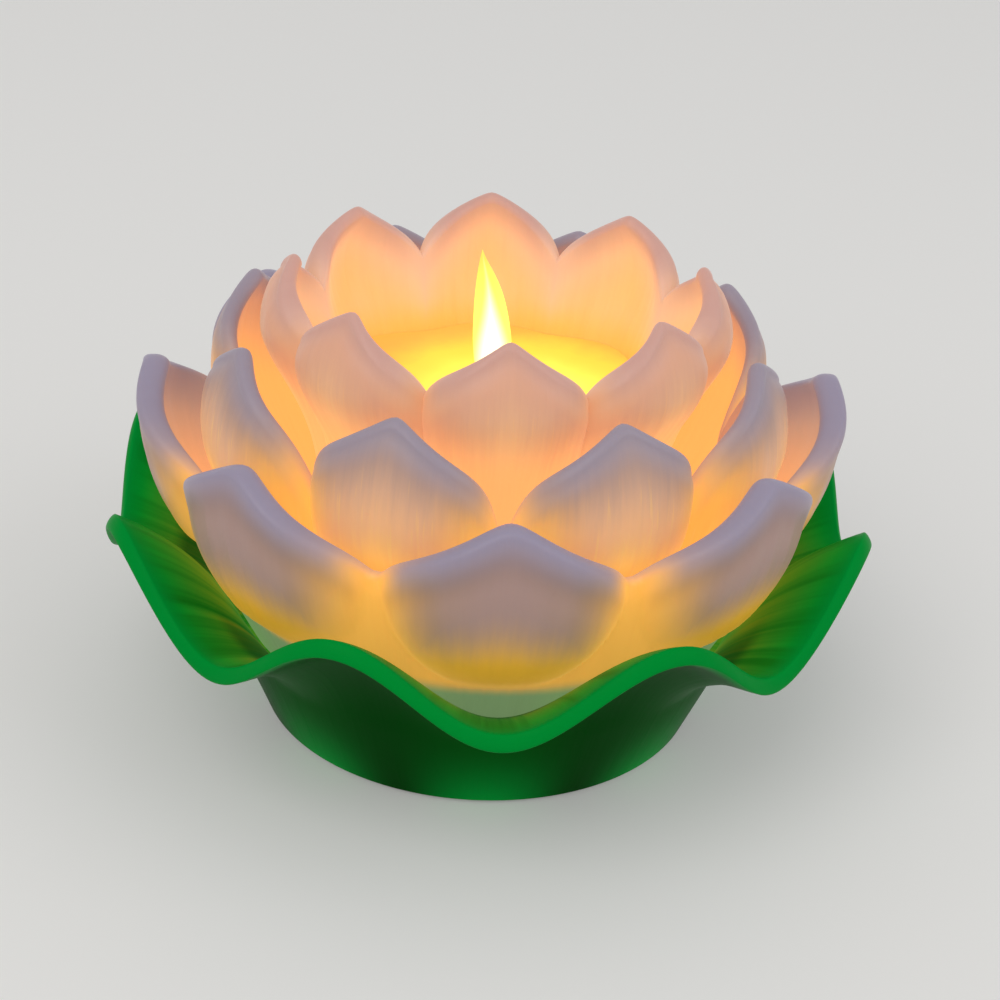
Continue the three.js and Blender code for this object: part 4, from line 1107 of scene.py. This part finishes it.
@dataclass
class LeafBase:
    """The green base: a foot, a deck and a dish that flares into a rim of waves."""

    finish: LeafFinish
    columns: int = 384
    top_rows: int = 26
    lip_rows: int = 10
    under_rows: int = 16
    foot_rows: int = 12
    deck_height: float = 22 * MM
    deck_radius: float = 53.9 * MM
    hole_radius: float = 10 * MM
    foot_radius: float = 48 * MM
    wall: float = 2.4 * MM
    ledge_width: float = 1.2 * MM
    ledge_height: float = 3.4 * MM
    plate_seat_radius: float = 45.6 * MM
    deck_thickness: float = 2.4 * MM
    lip_thickness: float = 3.6 * MM
    lip_bulge: float = 0.6 * MM
    lip_swell: Span = (0.7, 1.0)  # where along the dish its wall thickens
    lip_paint_top: Span = (0.88, 1.0)  # where the lip's colour comes in on the dish
    lip_paint_under: Span = (0.9, 1.0)
    valley_bend: tuple[float, float] = (60 * MM, 33 * MM)  # a radius and a height, as are the next three
    valley_rim: tuple[float, float] = (78.4 * MM, 37.9 * MM)
    crest_bend: tuple[float, float] = (60.8 * MM, 43 * MM)
    crest_rim: tuple[float, float] = (80.8 * MM, 55.2 * MM)

    def __post_init__(self) -> None:
        """Takes the height where it stands from the frame."""
        self.stand_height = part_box("leaf_base")[0].z

    def valley(self, angle: float) -> float:
        """Gives how near an angle lies to a valley of the rim, 1 in it and 0 on a crest."""
        return (1 + math.cos(PETALS * angle)) / 2

    def dish(self, angle: float, share: float) -> tuple[Vector, Vector]:
        """Gives a point of the dish's upper face and the direction below it.

        Args:
            angle: The angle from the front.
            share: How far out it lies, 0 at the deck and 1 at the rim.

        Returns:
            The point, as radius and height, and the unit vector into the wall.
        """
        crest = 1 - self.valley(angle)
        start = Vector((self.deck_radius, self.deck_height))
        bend = Vector(self.valley_bend).lerp(Vector(self.crest_bend), crest)
        rim = Vector(self.valley_rim).lerp(Vector(self.crest_rim), crest)
        point = start * (1 - share) ** 2 + bend * 2 * share * (1 - share) + rim * share**2
        along = ((bend - start) * (1 - share) + (rim - bend) * share).normalized()
        return point, Vector((along.y, -along.x))

    def on_top(self, angle: float, share: float) -> tuple[float, float]:
        """Gives a point of the dish's upper face."""
        return tuple(self.dish(angle, share)[0])

    def on_lip(self, angle: float, turn: float) -> tuple[float, float]:
        """Gives a point of the round lip.

        Args:
            angle: The angle from the front.
            turn: How far round the lip it lies, 0 to pi.

        Returns:
            Its radius and height.
        """
        point, below = self.dish(angle, 1.0)
        outwards = Vector((-below.y, below.x))
        point += below * self.lip_thickness / 2 * (1 - math.cos(turn))
        point += outwards * self.lip_bulge * math.sin(turn)
        return tuple(point)

    def on_underside(self, angle: float, share: float) -> tuple[float, float]:
        """Gives a point of the dish's lower face, whose wall thickens towards the lip.

        Args:
            angle: The angle from the front.
            share: How far out it lies, 0 at the deck and 1 at the rim.

        Returns:
            Its radius and height.
        """
        point, below = self.dish(angle, share)
        thickness = self.wall + (self.lip_thickness - self.wall) * eased(share, self.lip_swell)
        return tuple(point + below * thickness)

    def on_foot(self, angle: float, share: float) -> tuple[float, float]:
        """Gives a point of the foot's outer face, from under the dish down to the table.

        Args:
            angle: The angle from the front.
            share: How far down it lies, 0 under the dish and 1 on the table.

        Returns:
            Its radius and height.
        """
        radius, height = self.on_underside(angle, 0.0)
        out = radius + (self.foot_radius - radius) * share
        return out, height + (self.stand_height - height) * share

    def section(self) -> list[Ring]:
        """Gives the rings: out over the dish, round the lip, back below it and down the foot.

        Returns:
            The rings, in order round the section.
        """
        rings = []

        def marked(place: Place, reach: float, under: float, lip: float = 0.0, foot: float = 0.0) -> None:
            """Adds a ring with its marks.

            Args:
                place: Gives the ring's radius and height.
                reach: How far out on the dish it lies.
                under: 1 where it lies below, and 0 above.
                lip: How much of the lip's colour it gets.
                foot: How low on the foot it lies, which sets how much painted light it gets.
            """
            marks = {
                "reach": lambda angle: reach,
                "under": lambda angle: under,
                "lip": lambda angle: lip,
                # the foot mark carries the painted patch of light
                "foot": lambda angle: foot * self.valley(angle),
                "valley": self.valley,
            }
            rings.append(Ring(place, marks))

        def fixed(radius: float, height: float, under: float = 1.0) -> None:
            """Adds a round, level ring."""
            marked(lambda angle: (radius, height), 0.0, under)

        fixed(self.hole_radius, self.deck_height, 0.0)
        for row in range(self.top_rows + 1):
            share = row / self.top_rows
            lip = part_way(share, self.lip_paint_top)
            marked(lambda angle, share=share: self.on_top(angle, share), share, 0.0, lip)
        for row in range(1, self.lip_rows):
            turn = math.pi * row / self.lip_rows
            marked(lambda angle, turn=turn: self.on_lip(angle, turn), 1.0, 0.0, 1.0)
        for row in range(self.under_rows + 1):
            share = 1 - row / self.under_rows
            lip = part_way(share, self.lip_paint_under)
            marked(lambda angle, share=share: self.on_underside(angle, share), share, 1.0, lip)
        for row in range(1, self.foot_rows + 1):
            share = row / self.foot_rows
            marked(lambda angle, share=share: self.on_foot(angle, share), 0.0, 1.0, foot=share**2)
        deck_bottom = self.deck_height - self.deck_thickness
        fixed(self.plate_seat_radius, self.stand_height)
        fixed(self.plate_seat_radius, self.ledge_height)
        fixed(self.plate_seat_radius - self.ledge_width, self.ledge_height)
        fixed(self.deck_radius - self.wall, deck_bottom)
        fixed(self.hole_radius, deck_bottom)
        return rings

    def build(self) -> bpy.types.Object:
        """Builds and dresses the base.

        Returns:
            The piece.
        """
        piece = ring_shell("leaf_base_shell", self.columns, self.section())
        dress(piece, self.finish.make())
        stand_for(piece, Body.BASE, "leaf_green", "leaf_base")
        return piece


@dataclass
class CandleTop:
    """The candle's dished top, which fills the inner crown."""

    crown: PetalCrown
    finish: CandleFinish
    columns_per_petal: int = 24
    rows: int = 40
    rim_height: float = 71.5 * MM
    dish_depth: float = 2.5 * MM
    thickness: float = 2 * MM
    under_share: float = 0.98  # how far out the lower face reaches
    rim_gap: float = 0.5 * MM
    hole_radius: float = 7.4 * MM
    hole_round: float = 0.6 * MM
    pool_share: float = 0.86  # where the shore of the pool lies
    pool_step: float = 0.35 * MM
    shore_steepness: float = 60.0

    def edge(self, angle: float) -> float:
        """Gives the disc's radius at an angle."""
        return self.crown.inner(angle, self.rim_height) - self.rim_gap

    def dish(self, angle: float, radius: float) -> float:
        """Gives the height of the upper face: a shallow pool with a soft shore.

        Args:
            angle: The angle from the front.
            radius: The distance from the lamp's axis.

        Returns:
            The height.
        """
        share = radius / self.edge(angle)
        centre = self.rim_height - self.dish_depth
        shore = 1 / (1 + math.exp(-(share - self.pool_share) * self.shore_steepness))
        return centre + self.dish_depth * share**2 - self.pool_step * (1 - shore) * share**4

    def section(self) -> list[Ring]:
        """Gives the rings: out over the top, down at the rim and back below.

        Returns:
            The rings, in order round the section.
        """
        rings = []

        def level(share: float, drop: float) -> None:
            """Adds a ring at a share of the way out and a depth below the dish.

            Args:
                share: How far out it lies, 0 at the hole and 1 at the rim.
                drop: Its depth, in metres.
            """

            def place(angle: float) -> tuple[float, float]:
                """Gives the ring's place."""
                radius = self.hole_radius + (self.edge(angle) - self.hole_radius) * share
                return radius, self.dish(angle, radius) - drop

            rings.append(Ring(place))

        level(0.0, self.hole_round)
        for row in range(1, self.rows + 1):
            level(row / self.rows, 0.0)
        level(self.under_share, self.thickness)
        level(0.0, self.thickness)
        return rings

    def build(self) -> bpy.types.Object:
        """Builds and dresses the disc.

        Returns:
            The piece.
        """
        piece = ring_shell("candle_disc", PETALS * self.columns_per_petal, self.section())
        dress(piece, self.finish.make())
        stand_for(piece, Body.BASE, "candle_cream", "candle_top")
        return piece


@dataclass
class FlameTab:
    """The flame: a thin film that swells at its middle, on a stem with the wire's hole.

    Its two sides are points of how far up the film they lie and how far aside, in half widths.
    """

    finish: FlameFinish
    segments: int = 32
    rows: int = 96
    half_width: float = 4.1 * MM
    half_thickness: float = 0.5 * MM
    stem_half_width: float = 1.6 * MM
    foot_half_width: float = 2.2 * MM
    foot_height: float = 2 * MM
    base_height: float = 70 * MM
    wire_height: float = 58.7 * MM
    wire_hole_radius: float = 0.55 * MM
    pole: float = 1e-6  # how near its axis a point of the ball counts as a pole
    left: tuple[tuple[float, float], ...] = (
        (0.0, -0.39), (0.1, -0.78), (0.2, -0.98), (0.38, -1.18), (0.56, -1.22), (0.74, -1.19),
        (0.88, -1.1), (1.0, -0.95),
    )
    right: tuple[tuple[float, float], ...] = (
        (0.0, 0.39), (0.1, 0.68), (0.2, 0.84), (0.38, 0.78), (0.61, 0.45), (0.74, 0.12), (0.85, -0.3),
        (0.94, -0.72), (1.0, -0.95),
    )

    def __post_init__(self) -> None:
        """Takes the lowest and highest points from the frame."""
        low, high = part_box("flame_tab")
        self.low, self.tip = low.z, high.z

    @staticmethod
    def through(points: Sequence[tuple[float, float]], at: float) -> float:
        """Reads a smooth line through points of height and place.

        Args:
            points: The points, in order of height.
            at: The height that is read.

        Returns:
            The place there.
        """
        heights, places = zip(*points)
        slopes = np.gradient(places, heights)
        i = min(len(points) - 2, max(0, int(np.searchsorted(heights, at)) - 1))
        span = heights[i + 1] - heights[i]
        t = part_way(at, (heights[i], heights[i + 1]))
        first = (2 * t**3 - 3 * t**2 + 1) * places[i] + (t**3 - 2 * t**2 + t) * span * slopes[i]
        second = (3 * t**2 - 2 * t**3) * places[i + 1] + (t**3 - t**2) * span * slopes[i + 1]
        return first + second

    def rise(self, height: float) -> float:
        """Gives how far up the film a height lies, 0 at the candle and 1 at the tip."""
        return (height - self.base_height) / (self.tip - self.base_height)

    def sides(self, height: float) -> tuple[float, float]:
        """Gives the left and right side at a height.

        Args:
            height: The height.

        Returns:
            The two sides, in metres from the axis.
        """
        if height < self.low + self.foot_height:
            return -self.foot_half_width, self.foot_half_width
        if height < self.base_height:
            return -self.stem_half_width, self.stem_half_width
        left, right = (self.through(side, self.rise(height)) for side in (self.left, self.right))
        return left * self.half_width, right * self.half_width

    def drawn(self, ball: Vector) -> tuple[tuple[float, float, float], float, float]:
        """Draws a point of a ball out to the film.

        Args:
            ball: The point, on a ball of radius 1.

        Returns:
            Its place on the film, and the marks across and rise that FlameFinish reads.
        """
        share = 1 - math.acos(max(-1.0, min(1.0, ball.z))) / math.pi
        height = self.low + (self.tip - self.low) * share
        left, right = self.sides(height)
        middle, half = (left + right) / 2, (right - left) / 2
        thick = self.half_thickness * min(1.0, half / self.stem_half_width)
        turn = math.atan2(ball.y, ball.x)
        if math.hypot(ball.x, ball.y) < self.pole:
            turn = half = thick = 0.0
        place = (middle + half * math.cos(turn), thick * math.sin(turn), height)
        return place, abs(math.cos(turn)), self.rise(height)

    def build(self) -> bpy.types.Object:
        """Builds and dresses the flame.

        Returns:
            The piece.
        """
        deselect()
        bpy.ops.mesh.primitive_uv_sphere_add(segments=self.segments, ring_count=self.rows, radius=1.0)
        piece = bpy.context.object
        piece.name = "flame_film"
        across = piece.data.attributes.new("across", "FLOAT", "POINT")
        rise = piece.data.attributes.new("rise", "FLOAT", "POINT")
        for i, vertex in enumerate(piece.data.vertices):
            vertex.co, across.data[i].value, rise.data[i].value = self.drawn(vertex.co)
        self.drill(piece)
        smooth(piece, 60.0)
        dress(piece, self.finish.make())
        stand_for(piece, Body.FLAME, "flame_yellow", "flame_tab")
        return piece

    def drill(self, piece: bpy.types.Object) -> None:
        """Cuts the hole for the pivot wire.

        Args:
            piece: The film.
        """
        deselect()
        bpy.ops.mesh.primitive_cylinder_add(
            vertices=24,
            radius=self.wire_hole_radius,
            depth=8 * self.half_thickness,
            location=(0.0, 0.0, self.wire_height),
            rotation=(math.pi / 2, 0.0, 0.0),
        )
        bit = bpy.context.object
        cut = piece.modifiers.new("wire_hole", "BOOLEAN")
        cut.operation = "DIFFERENCE"
        cut.solver = "EXACT"
        cut.object = bit
        pick(piece)
        bpy.ops.object.modifier_apply(modifier=cut.name)
        bpy.data.objects.remove(bit)


def crowns() -> tuple[PetalCrown, PetalCrown, PetalCrown]:
    """Gives the outer, middle and inner crown, with their finishes.

    Returns:
        The three crowns, not yet built.
    """
    outer = PetalCrown(
        node="outer_petals",
        slot="outer_petal_pink",
        finish=PetalFinish(
            name="outer_petal_glow",
            lip=from_display(156, 147, 168),
            body=from_display(176, 145, 137),
            warm=from_display(255, 184, 84),
            low=from_display(232, 172, 54),
            inner_top=from_display(184, 170, 174),
            inner=from_display(238, 194, 146),
            fade=(15 * MM, 37 * MM),
            crease_lift=14 * MM,
            crease_warmth=1.0,
            lip_depth=9 * MM,
            lip_inside=13 * MM,
            inner_fade=30 * MM,
            inner_glow=0.38,
            groove_glow=0.13,
            band_shade=0.13,
            leaf_reflection=0.85,
        ),
        turn=0.0,
        shoulder_share=0.87,
        softness=0.1,
        swell_delay=1.0,
        root_radius=52.5 * MM,
        belly_radius=74 * MM,
        belly_height=68 * MM,
        tip_radius=71.3 * MM,
        crease_radius=65 * MM,
        crease_height=60.5 * MM,
        columns_per_petal=56,
        groove_share=0.95,
        bowl_foot=34.6 * MM,
        belly_wave=1.3 * MM,
        flare=1.3 * MM,
        lip_draw=0.3 * MM,
        lip_corner=3.0,
    )
    middle = PetalCrown(
        node="middle_petals",
        slot="middle_petal_pink",
        finish=PetalFinish(
            name="middle_petal_glow",
            lip=from_display(160, 148, 162),
            body=from_display(178, 151, 146),
            warm=from_display(255, 192, 92),
            low=from_display(238, 178, 126),
            inner_top=from_display(210, 172, 154),
            inner=from_display(250, 198, 116),
            fade=(1 * MM, 21 * MM),
            crease_lift=15 * MM,
            crease_warmth=1.0,
            lip_depth=8 * MM,
            inner_fade=26 * MM,
            inner_glow=0.48,
            groove_glow=0.12,
            deep=(18 * MM, 30 * MM),
            band_shade=0.05,
            scratches=0.28,
        ),
        turn=HALF_PITCH,
        shoulder_share=0.53,
        softness=0.06,
        swell_delay=1.6,
        root_radius=44 * MM,
        belly_radius=62.6 * MM,
        belly_height=70 * MM,
        tip_radius=57.1 * MM,
        crease_radius=52.4 * MM,
        crease_height=64 * MM,
        columns_per_petal=48,
        groove_share=0.97,
    )
    inner = PetalCrown(
        node="inner_petals",
        slot="inner_petal_pink",
        finish=PetalFinish(
            name="inner_petal_glow",
            lip=from_display(206, 160, 148),
            body=from_display(222, 166, 138),
            warm=from_display(250, 200, 132),
            low=from_display(246, 196, 130),
            inner_top=from_display(242, 198, 172),
            inner=from_display(250, 194, 126),
            fade=(4 * MM, 28 * MM),
            crease_lift=5 * MM,
            crease_warmth=0.3,
            lip_depth=6 * MM,
            lip_inside=10 * MM,
            inner_fade=20 * MM,
            body_glow=0.34,
            glow=0.5,
            inner_glow=0.42,
            scratches=0.2,
            pool_glow=0.8,
        ),
        turn=0.0,
        shoulder_share=0.84,
        softness=0.07,
        swell_delay=4.0,
        root_radius=36 * MM,
        belly_radius=49 * MM,
        belly_height=87 * MM,
        tip_radius=42.6 * MM,
        crease_radius=42.6 * MM,
        crease_height=88.2 * MM,
        bead=0.3 * MM,
        inner_softness=0.9,
    )
    return outer, middle, inner


def dress_nodes() -> None:
    """Dresses the frame's own nodes that stay in sight or inside the lamp."""
    glowing = MouldedFinish("candle_collar", from_display(250, 214, 120), 0.4, emission=0.4)
    finishes = {
        "candle_cream": glowing,
        "black_plastic": MouldedFinish("black_plastic", from_display(38, 40, 42), 0.4),
        "housing_white": MouldedFinish("housing_cream", from_display(232, 228, 214), 0.42),
        "board_green": MouldedFinish("board_green", from_display(29, 107, 60), 0.5),
        "lens_resin": MouldedFinish("lens_resin", from_display(252, 236, 205), 0.15, emission=0.8),
        "steel": MetalFinish("steel_bright", from_display(190, 192, 196), 0.28),
        "nickel": MetalFinish("nickel_plate", from_display(214, 212, 204), 0.18),
        "copper": MetalFinish("copper_wire", from_display(190, 104, 52), 0.32),
        "cell_jacket": MouldedFinish("cell_sleeve", from_display(61, 111, 174), 0.3),
        "foot_rubber": MouldedFinish("foot_rubber", from_display(44, 45, 46), 0.8, grain=0.15 * MM),
        "lead_red": MouldedFinish("lead_red", from_display(179, 33, 28), 0.45),
        "lead_black": MouldedFinish("lead_black", from_display(28, 28, 30), 0.45),
    }
    made = {slot: finish.make() for slot, finish in finishes.items()}
    for part in frame["record"]["subparts"]:
        if part["material_slot"] in made:
            dress(frame["nodes"][part["node"]], made[part["material_slot"]])
    dress(frame["nodes"]["module_cap"], made["candle_cream"])


def backdrop_rays(tree: bpy.types.NodeTree) -> Socket:
    """Tells the rays that show the backdrop from those that only light the lamp.

    Args:
        tree: The node tree that gets the nodes.

    Returns:
        1 for what is seen straight, in gloss or through glass, and 0 for the rest.
    """
    rays = tree.nodes.new("ShaderNodeLightPath").outputs
    seen = rays["Is Camera Ray"]
    for name in ("Is Glossy Ray", "Is Transmission Ray"):
        either = tree.nodes.new("ShaderNodeMath")
        either.operation = "MAXIMUM"
        tree.links.new(seen, either.inputs[0])
        tree.links.new(rays[name], either.inputs[1])
        seen = either.outputs[0]
    return seen


@dataclass
class Studio:
    """The floor, the soft lights and the camera."""

    floor_colour: Colour = (0.74, 0.735, 0.72)
    floor_size: float = 40.0
    floor_lift: float = 0.22  # how much the floor near the lamp is lifted as a backdrop
    far_lift: float = 0.56  # how much it is lifted where it meets the sky
    lift_radii: Span = (0.6, 3.0)  # the radii between which the lift grows
    sky_strength: float = 0.5
    sky_lift: float = 0.27  # how much the sky is lifted as a backdrop
    key_power: float = 9.0
    fill_power: float = 4.0
    light_aim: Vector = Vector((0.0, 0.0, 0.05))
    lens: float = 74.53  # in millimetres, as is the sensor
    sensor_width: float = 36.0
    near_clip: float = 0.01
    camera_roll: float = 3.39  # in degrees
    camera_place: Vector = Vector((-0.0264, -0.397, 0.2534))
    camera_aim: Vector = Vector((0.00273, -0.00018, 0.046))

    def build(self) -> None:
        """Sets up everything that isn't the lamp."""
        scene = bpy.context.scene
        scene.view_settings.view_transform = "Standard"
        self.floor()
        self.sky(scene)
        self.light("key", Vector((-0.7, -1.0, 1.3)), 1.4, self.key_power, (1.0, 0.985, 0.96))
        self.light("fill", Vector((1.2, -0.6, 0.9)), 1.2, self.fill_power, (0.94, 0.96, 1.0))
        self.camera(scene)

    def floor(self) -> None:
        """Lays the pale floor."""
        deselect()
        bpy.ops.mesh.primitive_plane_add(size=self.floor_size)
        ground = bpy.context.object
        ground.name = "floor"
        shader = Shader("floor_pale")
        lift = shader.ramp(shader.radius(), *self.lift_radii, self.floor_lift, self.far_lift)
        lift = shader.times(backdrop_rays(shader.material.node_tree), lift)
        shader.set(Base_Color=self.floor_colour, Roughness=0.7, Specular_IOR_Level=0.2)
        shader.set(Emission_Color=self.floor_colour, Emission_Strength=lift)
        ground.data.materials.append(shader.material)

    def sky(self, scene: bpy.types.Scene) -> None:
        """Lights the room evenly.

        Args:
            scene: The scene.
        """
        world = bpy.data.worlds.new("studio")
        world.use_nodes = True
        back = world.node_tree.nodes["Background"]
        back.inputs["Color"].default_value = (1.0, 1.0, 1.0, 1.0)
        strength = world.node_tree.nodes.new("ShaderNodeMath")
        strength.operation = "MULTIPLY_ADD"
        world.node_tree.links.new(backdrop_rays(world.node_tree), strength.inputs[0])
        strength.inputs[1].default_value = self.sky_lift
        strength.inputs[2].default_value = self.sky_strength
        world.node_tree.links.new(strength.outputs[0], back.inputs["Strength"])
        scene.world = world

    def light(self, name: str, place: Vector, size: float, power: float, tint: Colour) -> None:
        """Hangs one soft light that faces the lamp.

        Args:
            name: The light's name.
            place: Where it hangs.
            size: Its side.
            power: Its power in watts.
            tint: Its colour.
        """
        data = bpy.data.lights.new(name, "AREA")
        data.size = size
        data.energy = power
        data.color = tint
        lamp = bpy.data.objects.new(name, data)
        bpy.context.scene.collection.objects.link(lamp)
        lamp.location = place
        lamp.rotation_mode = "QUATERNION"
        lamp.rotation_quaternion = (self.light_aim - place).to_track_quat("-Z", "Y")

    def camera(self, scene: bpy.types.Scene) -> None:
        """Stands the camera where the photograph was taken.

        Args:
            scene: The scene.
        """
        data = bpy.data.cameras.new("camera")
        data.lens = self.lens
        data.sensor_width = self.sensor_width
        data.clip_start = self.near_clip
        eye = bpy.data.objects.new("camera", data)
        scene.collection.objects.link(eye)
        look = self.camera_aim - self.camera_place
        turn = look.to_track_quat("-Z", "Y").to_matrix().to_4x4()
        roll = Matrix.Rotation(math.radians(self.camera_roll), 4, "Z")
        eye.matrix_world = Matrix.Translation(self.camera_place) @ turn @ roll
        scene.camera = eye


def main() -> None:
    """Builds the lamp's looks in order, and notes each piece."""
    logging.basicConfig(level=logging.INFO, format="%(message)s")
    Studio().build()
    dress_nodes()
    outer, middle, inner = crowns()
    for crown in (outer, middle, inner):
        crown.build()
    LeafBase(LeafFinish()).build()
    CandleTop(inner, CandleFinish()).build()
    FlameTab(FlameFinish()).build()


if __name__ == "__main__":
    main()
